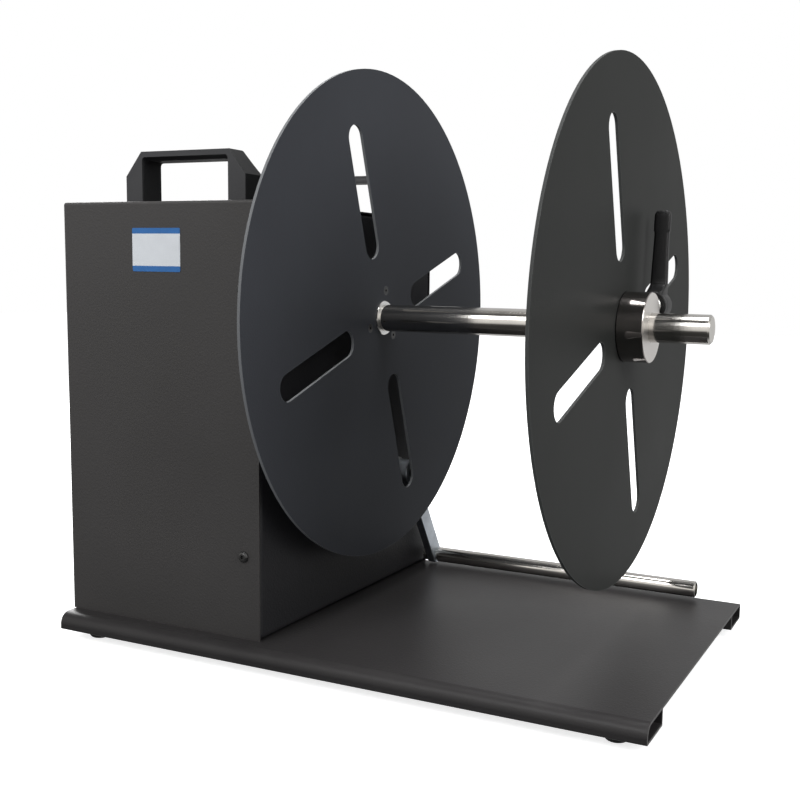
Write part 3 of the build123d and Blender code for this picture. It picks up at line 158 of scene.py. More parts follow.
def turnedGrainGroup():
    # fine rings left by turning or grinding round an axis along X, and long soft smears
    tree, inside, outside = newGroup(
        "turnedGrain",
        [("Ring Scale", "NodeSocketFloat", 1400.0), ("Smear Scale", "NodeSocketFloat", 30.0)],
        [("Height", "NodeSocketFloat"), ("Smear", "NodeSocketFloat")],
    )
    place = addNode(tree, "ShaderNodeTexCoord")
    stretch = addNode(tree, "ShaderNodeMapping")
    stretch.inputs["Scale"].default_value = (1.0, 0.02, 0.02)
    rings = addNode(tree, "ShaderNodeTexNoise", Detail=3.0, Roughness=0.7)
    smear = addNode(tree, "ShaderNodeTexNoise", Detail=4.0, Roughness=0.6)
    linkUp(tree, [
        (place.outputs["Object"], stretch.inputs["Vector"]),
        (stretch.outputs["Vector"], rings.inputs["Vector"]),
        (place.outputs["Object"], smear.inputs["Vector"]),
        (inside.outputs["Ring Scale"], rings.inputs["Scale"]),
        (inside.outputs["Smear Scale"], smear.inputs["Scale"]),
        (rings.outputs["Fac"], outside.inputs["Height"]),
        (smear.outputs["Fac"], outside.inputs["Smear"]),
    ])
    return tree


def edgeWearGroup():
    # a mask of the sharp edges, broken up by noise
    tree, inside, outside = newGroup(
        "edgeWear",
        [("Width", "NodeSocketFloat", 0.0012), ("Breakup", "NodeSocketFloat", 160.0)],
        [("Mask", "NodeSocketFloat")],
    )
    place = addNode(tree, "ShaderNodeTexCoord")
    surface = addNode(tree, "ShaderNodeNewGeometry")
    bevel = addNode(tree, "ShaderNodeBevel", samples=4)
    turn = addNode(tree, "ShaderNodeVectorMath", operation="DOT_PRODUCT")
    noise = addNode(tree, "ShaderNodeTexNoise", Detail=4.0, Roughness=0.65)
    linkUp(tree, [
        (inside.outputs["Width"], bevel.inputs["Radius"]),
        (bevel.outputs["Normal"], turn.inputs[0]),
        (surface.outputs["Normal"], turn.inputs[1]),
        (place.outputs["Object"], noise.inputs["Vector"]),
        (inside.outputs["Breakup"], noise.inputs["Scale"]),
    ])
    sharp = addRange(tree, turn.outputs["Value"], 0.985, 0.90, 0.0, 1.0)
    patchy = addRange(tree, noise.outputs["Fac"], 0.35, 0.65, 0.25, 1.0)
    tree.links.new(addMath(tree, "MULTIPLY", sharp, patchy), outside.inputs["Mask"])
    return tree


def flatFaceGroup(name, axis):
    # a mask of the faces that look straight along one axis, either way
    tree, inside, outside = newGroup(
        name,
        [("Sharpness", "NodeSocketFloat", 0.9)],
        [("Mask", "NodeSocketFloat")],
    )
    facing = splitPlace(tree, "Normal")[axis]
    mask = addNode(tree, "ShaderNodeMapRange", interpolation_type="SMOOTHSTEP")
    linkUp(tree, [
        (addMath(tree, "ABSOLUTE", facing), mask.inputs["Value"]),
        (inside.outputs["Sharpness"], mask.inputs["From Min"]),
        (mask.outputs["Result"], outside.inputs["Mask"]),
    ])
    return tree


coatGrain = coatGrainGroup()
turnedGrain = turnedGrainGroup()
edgeWear = edgeWearGroup()
flatFace = flatFaceGroup("flatFace", "X")
frontFace = flatFaceGroup("frontFace", "Y")


def startMaterial(name):
    material = bpy.data.materials.new(name)
    material.use_nodes = True
    tree = material.node_tree
    return material, tree, tree.nodes["Principled BSDF"]


def putGroup(tree, group, values):
    node = tree.nodes.new("ShaderNodeGroup")
    node.node_tree = group
    for key, value in values.items():
        node.inputs[key].default_value = value
    return node


def putBump(tree, shader, height, strength, distance):
    bump = tree.nodes.new("ShaderNodeBump")
    bump.inputs["Strength"].default_value = strength
    bump.inputs["Distance"].default_value = distance
    tree.links.new(height, bump.inputs["Height"])
    tree.links.new(bump.outputs["Normal"], shader.inputs["Normal"])


def coatedMaterial(name, colour, edgeColour, look):
    # painted or powder-coated sheet, with rubbed edges
    material, tree, shader = startMaterial(name)
    grain = putGroup(tree, coatGrain, {"Grain Size": look["grainSize"], "Cloud Size": look["cloudSize"]})
    wear = putGroup(tree, edgeWear, {"Width": look["edgeWidth"], "Breakup": look["edgeBreakup"]})
    dark, light = scaled(colour, 1 - look["shade"]), scaled(colour, 1 + look["shade"])
    cloudy = mixColour(tree, cloudTone(tree, grain), dark, light)
    specks = addMath(tree, "MULTIPLY", grain.outputs["Speck"], look["speck"])
    specked = mixColour(tree, specks, cloudy, scaled(colour, 1.8))
    rubbed = addMath(tree, "MULTIPLY", wear.outputs["Mask"], look["edge"])
    worn = mixColour(tree, rubbed, specked, scaled(edgeColour, 1))
    if "rim" in look:
        # painted light and shade on the sides: cut edges, slot walls and sides get their own painted tone
        # against the flat faces, a painted highlight on the discs and painted shade on the handles
        face = putGroup(tree, look.get("flat", flatFace), {"Sharpness": 0.6})
        sides = addMath(tree, "SUBTRACT", 1.0, face.outputs["Mask"])
        sidePaintedLightShare = addMath(tree, "MULTIPLY", sides, look["rim"])
        worn = mixColour(tree, sidePaintedLightShare, worn, scaled(look["rimColour"], 1))
    tree.links.new(worn, shader.inputs["Base Color"])
    rough = cloudTone(tree, grain, look["rough"] - 0.04, look["rough"] + 0.05)
    tree.links.new(rough, shader.inputs["Roughness"])
    shader.inputs["Specular IOR Level"].default_value = look["specular"]
    putBump(tree, shader, grain.outputs["Height"], look["bump"], look["bumpDepth"])
    return material


def metalMaterial(name, colour, look):
    # turned, ground or plated metal
    material, tree, shader = startMaterial(name)
    grain = putGroup(tree, turnedGrain, {"Ring Scale": look["ringScale"], "Smear Scale": look["smearScale"]})
    smears = addRange(tree, grain.outputs["Smear"], 0.35, 0.65, 0.0, 1.0)
    smeared = mixColour(tree, smears, scaled(colour, look["dark"]), scaled(colour, 1))
    rough = addRange(tree, grain.outputs["Height"], 0.3, 0.7, look["rough"] * 0.75, look["rough"] * 1.3)
    if "faceSheenColour" in look:
        # faces left from the saw or the lathe are duller than the ground barrel, and are painted paler: a
        # painted sheen for the bright light they reflect
        face = putGroup(tree, flatFace, {"Sharpness": 0.93})
        smeared = mixColour(tree, face.outputs["Mask"], smeared, scaled(look["faceSheenColour"], 1))
        duller = addMath(tree, "MULTIPLY", face.outputs["Mask"], look["faceRough"])
        rough = addMath(tree, "ADD", rough, duller)
    if "jointAt" in look:
        # painted shade: a dark line in the joint where the collar meets its disc, standing in for the contact
        # shadow there
        near = addMath(tree, "ABSOLUTE", addMath(tree, "SUBTRACT", splitPlace(tree)["X"], look["jointAt"]))
        grime = addMath(tree, "LESS_THAN", near, look["jointWide"])
        smeared = mixColour(tree, grime, smeared, (0.012, 0.011, 0.011, 1))
        rough = addMath(tree, "MAXIMUM", rough, addMath(tree, "MULTIPLY", grime, 0.6))
    tree.links.new(smeared, shader.inputs["Base Color"])
    tree.links.new(rough, shader.inputs["Roughness"])
    shader.inputs["Metallic"].default_value = 1.0
    putBump(tree, shader, grain.outputs["Height"], look["bump"], look["bumpDepth"])
    return material


def assign(material, *names):
    for name in names:
        mesh = nodes[name].data
        mesh.materials.clear()
        mesh.materials.append(material)


cabinetCoat = coatedMaterial("cabinetCoat", (0.043, 0.0407, 0.0402), (0.13, 0.12, 0.115), {
    "grainSize": 700.0, "cloudSize": 7.0, "edgeWidth": 0.0012, "edgeBreakup": 120.0, "edge": 0.45,
    "shade": 0.12, "speck": 0.35, "rough": 0.5, "specular": 0.45, "bump": 0.35, "bumpDepth": 0.0004})
baseCoat = coatedMaterial("baseCoat", (0.0322, 0.0304, 0.0306), (0.12, 0.11, 0.105), {
    "grainSize": 700.0, "cloudSize": 7.0, "edgeWidth": 0.0012, "edgeBreakup": 120.0, "edge": 0.45,
    "shade": 0.14, "speck": 0.4, "rough": 0.36, "specular": 0.2, "bump": 0.28, "bumpDepth": 0.0004})
# a darker copy of the cabinet coat: painted shade for the bearing wall, which sits in shadow
wallShadedCoat = coatedMaterial("wallShadedCoat", (0.022, 0.0218, 0.0245), (0.13, 0.12, 0.12), {
    "grainSize": 700.0, "cloudSize": 7.0, "edgeWidth": 0.0012, "edgeBreakup": 120.0, "edge": 0.45,
    "shade": 0.12, "speck": 0.35, "rough": 0.5, "specular": 0.4, "bump": 0.35, "bumpDepth": 0.0004})
discLook = {
    "grainSize": 900.0, "cloudSize": 5.0, "edgeWidth": 0.001, "edgeBreakup": 140.0, "edge": 0.6,
    "shade": 0.1, "speck": 0.2, "rough": 0.46, "specular": 0.06, "bump": 0.2, "bumpDepth": 0.0003}
# both discs wear one paint: the back disc's copy is painted lighter, standing in for the light the outer disc
# shades off it, and the outer disc's copy darker, its brightness left to reflections; their rims and slot
# walls get a painted highlight
backDiscLitCoat = coatedMaterial("backDiscLitCoat", (0.0573, 0.0603, 0.0685), (0.2, 0.21, 0.22),
                              dict(discLook, rim=0.9, rimColour=(0.21, 0.215, 0.22)))
outerDiscDarkenedCoat = coatedMaterial("outerDiscDarkenedCoat", (0.027, 0.0283, 0.0268), (0.2, 0.21, 0.2),
                               dict(discLook, rim=0.7, rimColour=(0.09, 0.092, 0.09)))
# the handle's sides, top and underside are painted near black: painted shade beside its lit front and back
# faces
handlePlastic = coatedMaterial("handlePlastic", (0.062, 0.062, 0.0645), (0.1, 0.1, 0.1), {
    "flat": frontFace, "rim": 1.0, "rimColour": (0.012, 0.012, 0.0128),
    "grainSize": 1100.0, "cloudSize": 18.0, "edgeWidth": 0.0008, "edgeBreakup": 200.0, "edge": 0.4,
    "shade": 0.1, "speck": 0.25, "rough": 0.5, "specular": 0.22, "bump": 0.3, "bumpDepth": 0.0003})
leverCoat = coatedMaterial("leverCoat", (0.005, 0.005, 0.0055), (0.05, 0.05, 0.05), {
    "grainSize": 1300.0, "cloudSize": 40.0, "edgeWidth": 0.0007, "edgeBreakup": 300.0, "edge": 0.5,
    "shade": 0.2, "speck": 0.3, "rough": 0.42, "specular": 0.3, "bump": 0.35, "bumpDepth": 0.0003})
blackSteel = coatedMaterial("blackSteel", (0.016, 0.016, 0.016), (0.08, 0.08, 0.08), {
    "grainSize": 1500.0, "cloudSize": 60.0, "edgeWidth": 0.0003, "edgeBreakup": 500.0, "edge": 0.6,
    "shade": 0.2, "speck": 0.2, "rough": 0.36, "specular": 0.6, "bump": 0.15, "bumpDepth": 0.0001})
rubberBlack = coatedMaterial("rubberBlack", (0.018, 0.018, 0.018), (0.04, 0.04, 0.04), {
    "grainSize": 800.0, "cloudSize": 50.0, "edgeWidth": 0.0006, "edgeBreakup": 200.0, "edge": 0.3,
    "shade": 0.25, "speck": 0.3, "rough": 0.75, "specular": 0.3, "bump": 0.4, "bumpDepth": 0.0003})
switchPlastic = coatedMaterial("switchPlastic", (0.014, 0.014, 0.015), (0.04, 0.04, 0.04), {
    "grainSize": 1600.0, "cloudSize": 60.0, "edgeWidth": 0.0004, "edgeBreakup": 400.0, "edge": 0.3,
    "shade": 0.15, "speck": 0.15, "rough": 0.4, "specular": 0.5, "bump": 0.15, "bumpDepth": 0.0001})
rockerRed = coatedMaterial("rockerRed", (0.30, 0.012, 0.010), (0.4, 0.05, 0.04), {
    "grainSize": 1600.0, "cloudSize": 60.0, "edgeWidth": 0.0004, "edgeBreakup": 400.0, "edge": 0.3,
    "shade": 0.1, "speck": 0.0, "rough": 0.3, "specular": 0.5, "bump": 0.1, "bumpDepth": 0.0001})
motorPaint = coatedMaterial("motorPaint", (0.03, 0.03, 0.033), (0.12, 0.12, 0.12), {
    "grainSize": 900.0, "cloudSize": 20.0, "edgeWidth": 0.0008, "edgeBreakup": 160.0, "edge": 0.5,
    "shade": 0.15, "speck": 0.2, "rough": 0.4, "specular": 0.5, "bump": 0.2, "bumpDepth": 0.0003})
boardGreen = coatedMaterial("boardGreen", (0.014, 0.085, 0.035), (0.05, 0.2, 0.09), {
    "grainSize": 500.0, "cloudSize": 90.0, "edgeWidth": 0.0005, "edgeBreakup": 300.0, "edge": 0.4,
    "shade": 0.4, "speck": 0.5, "rough": 0.4, "specular": 0.5, "bump": 0.3, "bumpDepth": 0.0003})
bushAcetal = coatedMaterial("bushAcetal", (0.62, 0.60, 0.55), (0.7, 0.68, 0.62), {
    "grainSize": 900.0, "cloudSize": 60.0, "edgeWidth": 0.0005, "edgeBreakup": 200.0, "edge": 0.3,
    "shade": 0.05, "speck": 0.1, "rough": 0.45, "specular": 0.4, "bump": 0.1, "bumpDepth": 0.0002})

groundChrome = metalMaterial("groundChrome", (0.66, 0.64, 0.61), {
    "ringScale": 1500.0, "smearScale": 18.0, "dark": 0.78, "rough": 0.12, "bump": 0.06, "bumpDepth": 0.0001,
    "faceSheenColour": (0.74, 0.72, 0.68), "faceRough": 0.22})
hubChrome = metalMaterial("hubChrome", (0.40, 0.372, 0.36), {
    "ringScale": 2200.0, "smearScale": 35.0, "dark": 0.8, "rough": 0.1, "bump": 0.05, "bumpDepth": 0.0001,
    "faceSheenColour": (0.80, 0.775, 0.745), "faceRough": 0.3, "jointAt": 0.2020, "jointWide": 0.0009})
brightRing = metalMaterial("brightRing", (0.88, 0.87, 0.85), {
    "ringScale": 2200.0, "smearScale": 60.0, "dark": 0.9, "rough": 0.14, "bump": 0.05, "bumpDepth": 0.0001,
    "faceSheenColour": (0.93, 0.93, 0.92), "faceRough": 0.2})
zincSteel = metalMaterial("zincSteel", (0.60, 0.60, 0.58), {
    "ringScale": 2500.0, "smearScale": 80.0, "dark": 0.7, "rough": 0.26, "bump": 0.1, "bumpDepth": 0.0001})
armSteel = metalMaterial("armSteel", (0.60, 0.645, 0.70), {
    "ringScale": 1200.0, "smearScale": 40.0, "dark": 0.75, "rough": 0.38, "bump": 0.12, "bumpDepth": 0.0002})
plugBrass = metalMaterial("plugBrass", (0.62, 0.44, 0.18), {
    "ringScale": 2200.0, "smearScale": 60.0, "dark": 0.8, "rough": 0.24, "bump": 0.08, "bumpDepth": 0.0001})
turnedAluminium = metalMaterial("turnedAluminium", (0.74, 0.74, 0.75), {
    "ringScale": 2000.0, "smearScale": 40.0, "dark": 0.85, "rough": 0.3, "bump": 0.12, "bumpDepth": 0.0002})
castMetal = metalMaterial("castMetal", (0.45, 0.46, 0.47), {
    "ringScale": 700.0, "smearScale": 50.0, "dark": 0.8, "rough": 0.5, "bump": 0.3, "bumpDepth": 0.0004})

assign(cabinetCoat, "cabinet_cover", "inner_plate", "switch_bracket")
assign(wallShadedCoat, "bearing_wall")
assign(baseCoat, "base_plate")
assign(backDiscLitCoat, "back_flange_disc")
assign(outerDiscDarkenedCoat, "outer_flange_disc")
assign(handlePlastic, "front_handle", "rear_handle")
assign(leverCoat, "clamp_lever")
assign(blackSteel, "cover_screws", "housing_screws", "gearbox_screws", "dancer_arm_screw", "lever_screw",
       "hub_set_screw", "spindle_circlips", "back_flange_screws", "outer_flange_screws")
assign(rubberBlack, "rubber_feet", "drive_belt")
assign(switchPlastic, "arm_switch", "power_inlet", "switch_frames", "speed_knob", "direction_rocker")
assign(rockerRed, "power_rocker")
assign(motorPaint, "drive_motor")
assign(boardGreen, "control_board")
assign(bushAcetal, "roller_bushes", "dancer_cam")
assign(groundChrome, "main_spindle", "roller_tube")
assign(hubChrome, "outer_hub_collar")
assign(brightRing, "back_flange_hub")
assign(zincSteel, "foot_screws", "handle_screws", "spacer_screws",
       "roller_axle", "roller_axle_nut", "roller_end_screw", "frame_spacers", "clamp_insert", "dancer_shaft",
       "gearbox_shaft", "board_standoffs", "speed_potentiometer", "power_supply", "front_bearing",
       "rear_bearing")
assign(armSteel, "dancer_arm")
assign(plugBrass, "clamp_plug")
assign(turnedAluminium, "front_bearing_housing", "rear_bearing_housing", "dancer_housing", "spindle_pulley",
       "motor_pulley")
assign(castMetal, "gearbox")
print("materials placed")


def labelMaterial(look):
    # a blank gloss label: white film with a blue band along its top and its foot
    material, tree, shader = startMaterial("labelFilm")
    grain = putGroup(tree, coatGrain, {"Grain Size": 1500.0, "Cloud Size": 60.0})
    height = splitPlace(tree)["Z"]
    foot = addMath(tree, "LESS_THAN", height, look["low"] + look["band"])
    head = addMath(tree, "GREATER_THAN", height, look["high"] - look["band"])
    clouds = cloudTone(tree, grain)
    white = mixColour(tree, clouds, look["white"], scaled(look["white"], 0.94))
    blue = mixColour(tree, clouds, look["blue"], scaled(look["blue"], 0.85))
    banded = mixColour(tree, addMath(tree, "MAXIMUM", foot, head), white, blue)
    tree.links.new(banded, shader.inputs["Base Color"])
    tree.links.new(cloudTone(tree, grain, 0.28, 0.36), shader.inputs["Roughness"])
    putBump(tree, shader, grain.outputs["Height"], 0.05, 0.0001)
    return material


markWhite = coatedMaterial("markWhite", (0.75, 0.75, 0.73), (0.8, 0.8, 0.78), {
    "grainSize": 1500.0, "cloudSize": 80.0, "edgeWidth": 0.0002, "edgeBreakup": 600.0, "edge": 0.2,
    "shade": 0.06, "speck": 0.1, "rough": 0.45, "specular": 0.4, "bump": 0.1, "bumpDepth": 0.0001})


# pieces made here: each rides on the body that carries it
def finishPiece(name, mesh, material, body, smooth=True):
    mesh.materials.clear()
    mesh.materials.append(material)
    for face in mesh.polygons:
        face.use_smooth = smooth
    piece = bpy.data.objects.new(name, mesh)
    scene.collection.objects.link(piece)
    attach(piece, body)
    return piece


def meshFrom(name, build):
    work = bmesh.new()
    build(work)
    bmesh.ops.remove_doubles(work, verts=work.verts, dist=1e-6)
    bmesh.ops.recalc_face_normals(work, faces=work.faces)
    mesh = bpy.data.meshes.new(name)
    work.to_mesh(mesh)
    work.free()
    return mesh


def skinLoops(work, loops):
    # a closed skin over loops of as many points each, capped at both ends
    for lower, upper in zip(loops, loops[1:]):
        for here in range(len(lower)):
            after = (here + 1) % len(lower)
            work.faces.new((lower[here], lower[after], upper[after], upper[here]))
    work.faces.new(loops[0])
    work.faces.new(loops[-1])


def addSlab(work, outline, place, thick):
    # a thin solid plate: place turns an outline point and a height into a point in space
    skinLoops(work, [[work.verts.new(place(across, along, rise)) for across, along in outline]
                     for rise in (0.0, thick)])


def roundedOutline(width, height, radius, steps=6):
    points = []
    for turn, (sideX, sideY) in enumerate(((1, 1), (-1, 1), (-1, -1), (1, -1))):
        centreX, centreY = sideX * (width / 2 - radius), sideY * (height / 2 - radius)
        for step in range(steps + 1):
            angle = (turn + step / steps) * pi / 2
            points.append((centreX + radius * cos(angle), centreY + radius * sin(angle)))
    return points


def addLathe(work, rings, middle, steps=64):
    # a ring turned round an axis along Y through middle: rings is a closed list of (y, radius)
    loops = []
    for step in range(steps):
        angle = 2 * pi * step / steps
        across, along = cos(angle), sin(angle)
        loops.append([work.verts.new((middle[0] + radius * across, y, middle[1] + radius * along))
                      for y, radius in rings])
    for step in range(steps):
        here, after = loops[step], loops[(step + 1) % steps]
        for index in range(len(rings)):
            following = (index + 1) % len(rings)
            work.faces.new((here[index], here[following], after[following], after[index]))


labelLook = {"left": -0.1893, "right": -0.1380, "low": 0.3335, "high": 0.3704, "corner": 0.0012,
             "thick": 0.0003, "band": 0.0048, "white": (0.9, 0.93, 0.96, 1), "blue": (0.022, 0.17, 0.50, 1)}


def makeLabel(look):
    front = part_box("cabinet_cover")[0][1]
    middle = ((look["left"] + look["right"]) / 2, (look["low"] + look["high"]) / 2)
    outline = roundedOutline(look["right"] - look["left"], look["high"] - look["low"], look["corner"])

    def onFront(across, along, rise):
        return middle[0] + across, front - rise, middle[1] + along

    mesh = meshFrom("blankLabel", lambda work: addSlab(work, outline, onFront, look["thick"]))
    finishPiece("blankLabel", mesh, labelMaterial(look), "frame", smooth=False)


makeLabel(labelLook)

leverLook = {"length": 0.083, "lean": 0.005, "thick": 0.009, "bossRadius": 0.012, "bossDepth": 0.023,
             "holeRadius": 0.0056, "screwRadius": 0.0033, "splineRadius": 0.0075, "webStart": 0.0117,
             "webEnd": 0.0157, "root": 0.0150, "neck": 0.0130, "pad": 0.0145, "padStart": 0.064, "tip": 0.005,
             "corner": 0.0022, "groove": 0.0004, "grooveAt": 0.0066, "armRoot": 0.018, "leanFrom": 0.0072}


def smoothStep(value, low, high):
    share = min(max((value - low) / (high - low), 0.0), 1.0)
    return share * share * (3 - 2 * share)


def makeLever(look):
    # the moulded clamp lever: a turned boss and a tapered arm whose sections are rounded rectangles
    low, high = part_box("clamp_lever")
    middle = ((low[0] + high[0]) / 2, low[2] + look["bossRadius"])
    base = low[1]
    end = base + look["bossDepth"]
    radius, hole = look["bossRadius"], look["holeRadius"]
    groove, grooveAt = look["groove"], base + look["grooveAt"]
    rings = [(base, look["splineRadius"]), (base, radius - 0.0006), (base + 0.0006, radius),
             (grooveAt - groove, radius), (grooveAt, radius - groove), (grooveAt + groove, radius),
             (end - 0.0018, radius), (end - 0.0008, radius - 0.0004), (end, radius - 0.0016),
             (end, hole + 0.0008), (end - 0.0008, hole), (base + look["webEnd"], hole),
             (base + look["webEnd"], look["screwRadius"]), (base + look["webStart"], look["screwRadius"]),
             (base + look["webStart"], look["splineRadius"])]
    padStart, length = look["padStart"], look["length"]
    levels = [0.0082, 0.0100, 0.0120, 0.0140, 0.0160, 0.0180, 0.0200, 0.0240, 0.0320, 0.0420, 0.0520, 0.0600,
              0.0632, padStart, padStart + 0.0008, 0.0670, 0.0720, 0.0770, 0.0790, 0.0805, 0.0817,
              0.0825, 0.0829]

    def leanAt(level, start):
        return look["lean"] * max(level - start, 0.0) / (length - start)

    def section(level):
        width = look["root"] + (look["neck"] - look["root"]) * smoothStep(level, radius, padStart)
        if level > padStart:
            width = look["pad"]
        far = end + leanAt(level, look["leanFrom"]) - 0.0002
        armNear = end - look["thick"] + 0.0022 + leanAt(level, look["armRoot"])
        near = base + 0.0015 + (armNear - base - 0.0015) * smoothStep(level, 0.0085, 0.0195)
        over = level - (length - look["tip"])
        if over > 0:
            pull = look["tip"] - sqrt(max(look["tip"] ** 2 - over ** 2, 0.0))
            width -= 2 * pull * 0.8
            near += pull * 0.45
            far -= pull * 0.30
        return width, near, far

    def build(work):
        addLathe(work, rings, middle)
        loops = []
        for level in levels:
            width, near, far = section(level)
            corner = min(look["corner"], width * 0.45, (far - near) * 0.45)
            outline = roundedOutline(width, far - near, corner, 5)
            loops.append([work.verts.new((middle[0] + across, (near + far) / 2 + along, middle[1] + level))
                          for across, along in outline])
        skinLoops(work, loops)

    mesh = meshFrom("leverHandle", build)
    piece = finishPiece("leverHandle", mesh, leverCoat, "clamp_handle")
    piece.data.set_sharp_from_angle(angle=radians(38))
    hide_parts("clamp_lever")


makeLever(leverLook)

handleLook = {"leg": 0.019, "bar": 0.008, "shoulderX": 0.017, "shoulderZ": 0.021, "corner": 0.003,
              "grip": 0.0032, "gripDepth": 0.0042, "legEase": 0.0006, "edge": 0.0005, "backRound": 0.006}


def makeHandle(name, node, outward, look):
    # a bridge handle: the bar's lower front edge is cut back for the fingers, and its top is rounded behind
    low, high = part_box(node)
    centre = (low[0] + high[0]) / 2
    half, height, depth = (high[0] - low[0]) / 2, high[2] - low[2], high[1] - low[1]
    flat = low[1] if outward < 0 else high[1]

    def profile(inset, gripCut, legCut, drop):
        top = height - drop - inset
        side, shoulderX, shoulderZ = half - inset, look["shoulderX"], height - look["shoulderZ"]
        outer = [(-side, 0.0), (-side, shoulderZ), (-half + shoulderX, top), (half - shoulderX, top),
                 (side, shoulderZ), (side, 0.0)]
        opening = half - look["leg"] + legCut
        roof = height - look["bar"] + gripCut
        inner = [(opening, 0.0)]
        for turn in range(7):
            angle = turn / 6 * pi / 2
            inner.append((opening - look["corner"] * (1 - cos(angle)),
                          roof - look["corner"] * (1 - sin(angle))))
        inner += [(-across, along) for across, along in reversed(inner)]
        return outer + inner

    levels = [(0.0, look["edge"], look["grip"], look["legEase"] * 1.5, 0.0),
              (look["edge"], 0.0, look["grip"] * 0.92, look["legEase"], 0.0),
              (look["gripDepth"] * 0.5, 0.0, look["grip"] * 0.62, 0.0, 0.0),
              (look["gripDepth"], 0.0, 0.0, 0.0, 0.0)]
    radius = look["backRound"]
    for turn in range(9):
        angle = turn / 8 * pi / 2
        levels.append((depth - radius + radius * sin(angle), 0.0, 0.0, 0.0, radius * (1 - cos(angle)) * 0.98))

    def build(work):
        loops = []
        for along, inset, gripCut, legCut, drop in levels:
            loops.append([work.verts.new((centre + x, flat - outward * along, low[2] + z))
                          for x, z in profile(inset, gripCut, legCut, drop)])
        skinLoops(work, loops)

    piece = finishPiece(name, meshFrom(name, build), handlePlastic, "frame")
    piece.data.set_sharp_from_angle(angle=radians(30))
    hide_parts(node)


makeHandle("frontHandle", "front_handle", -1, handleLook)
makeHandle("rearHandle", "rear_handle", 1, handleLook)

dialLook = {"ticks": 11, "sweep": 270.0, "radius": 0.0150, "length": 0.0032, "width": 0.0008,
            "thick": 0.00025, "pointerFrom": 0.0045, "pointerWidth": 0.0011, "pointerLength": 0.006,
            "pointerCorner": 0.0005, "pointerThick": 0.0002}


def tickTree():
    # ticks set out round a dial that faces along X
    tree = bpy.data.node_groups.new("dialTicks", "GeometryNodeTree")
    sockets = {}
    for label, kind, value in (
            ("Ticks", "NodeSocketInt", 11), ("Sweep", "NodeSocketFloat", radians(270)),
            ("Radius", "NodeSocketFloat", 0.015), ("Size", "NodeSocketVector", (0.001, 0.001, 0.003)),
            ("Middle", "NodeSocketVector", (0, 0, 0)), ("Finish", "NodeSocketMaterial", None)):
        socket = tree.interface.new_socket(name=label, in_out="INPUT", socket_type=kind)
        if value is not None:
            socket.default_value = value
        sockets[label] = socket.identifier
    tree.interface.new_socket(name="Geometry", in_out="OUTPUT", socket_type="NodeSocketGeometry")
    inside = tree.nodes.new("NodeGroupInput")
    outside = tree.nodes.new("NodeGroupOutput")
    spots = addNode(tree, "GeometryNodePoints")
    index = addNode(tree, "GeometryNodeInputIndex")
    last = addMath(tree, "SUBTRACT", inside.outputs["Ticks"], 1.0)
    share = addMath(tree, "SUBTRACT", addMath(tree, "DIVIDE", index.outputs[0], last), 0.5)
    angle = addMath(tree, "MULTIPLY", share, inside.outputs["Sweep"])
    height = addMath(tree, "MULTIPLY", addMath(tree, "COSINE", angle), inside.outputs["Radius"])
    sideways = addMath(tree, "MULTIPLY", addMath(tree, "SINE", angle), inside.outputs["Radius"])
    offset = addNode(tree, "ShaderNodeCombineXYZ")
    spot = addNode(tree, "ShaderNodeVectorMath", operation="ADD")
    spin = addNode(tree, "ShaderNodeCombineXYZ")
    tick = addNode(tree, "GeometryNodeMeshCube")
    place = addNode(tree, "GeometryNodeInstanceOnPoints")
    real = addNode(tree, "GeometryNodeRealizeInstances")
    finish = addNode(tree, "GeometryNodeSetMaterial")
    linkUp(tree, [
        (inside.outputs["Ticks"], spots.inputs["Count"]),
        (sideways, offset.inputs["Y"]),
        (height, offset.inputs["Z"]),
        (offset.outputs[0], spot.inputs[0]),
        (inside.outputs["Middle"], spot.inputs[1]),
        (spot.outputs[0], spots.inputs["Position"]),
        (addMath(tree, "MULTIPLY", angle, -1.0), spin.inputs["X"]),
        (inside.outputs["Size"], tick.inputs["Size"]),
        (spots.outputs[0], place.inputs["Points"]),
        (tick.outputs["Mesh"], place.inputs["Instance"]),
        (spin.outputs[0], place.inputs["Rotation"]),
        (place.outputs[0], real.inputs[0]),
        (real.outputs[0], finish.inputs["Geometry"]),
        (inside.outputs["Finish"], finish.inputs["Material"]),
        (finish.outputs[0], outside.inputs["Geometry"]),
    ])
    return tree, sockets


def bakeTree(name, tree, sockets, values, material, body):
    # runs a tree once and keeps what it makes as a plain mesh
    carrier = bpy.data.objects.new(name + "Source", bpy.data.meshes.new(name + "Source"))
    scene.collection.objects.link(carrier)
    modifier = carrier.modifiers.new("tree", "NODES")
    modifier.node_group = tree
    for label, value in values.items():
        modifier[sockets[label]] = value
    view = bpy.context.evaluated_depsgraph_get()
    view.update()
    mesh = bpy.data.meshes.new_from_object(carrier.evaluated_get(view))
    carrier.modifiers.remove(modifier)
    bpy.data.objects.remove(carrier)
    mesh.name = name
    return finishPiece(name, mesh, material, body, smooth=False)


def makeDial(look):
    knobLow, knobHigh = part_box("speed_knob")
    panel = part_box("cabinet_cover")[0][0]
    centre = [(a + b) / 2 for a, b in zip(knobLow, knobHigh)]
    tree, sockets = tickTree()
    bakeTree("dialTicks", tree, sockets, {
        "Ticks": look["ticks"], "Sweep": radians(look["sweep"]), "Radius": look["radius"],
        "Size": (look["thick"], look["width"], look["length"]),
        "Middle": (panel - look["thick"] / 2, centre[1], centre[2]), "Finish": markWhite,
    }, markWhite, "frame")
    face = knobLow[0]
    start = radians(look["sweep"] / 2)

    def pointer(across, along, rise):
        turned = (across * cos(start) + along * sin(start), along * cos(start) - across * sin(start))
        return face + look["pointerThick"] - rise, centre[1] + turned[0], centre[2] + turned[1]

    bar = roundedOutline(look["pointerWidth"], look["pointerLength"], look["pointerCorner"], 4)
    outline = [(across, look["pointerFrom"] + along) for across, along in bar]
    mesh = meshFrom("knobPointer", lambda work: addSlab(work, outline, pointer, look["pointerThick"]))
    finishPiece("knobPointer", mesh, markWhite, "speed_dial", smooth=False)


makeDial(dialLook)
print("label, lever, handles and dial marks made")

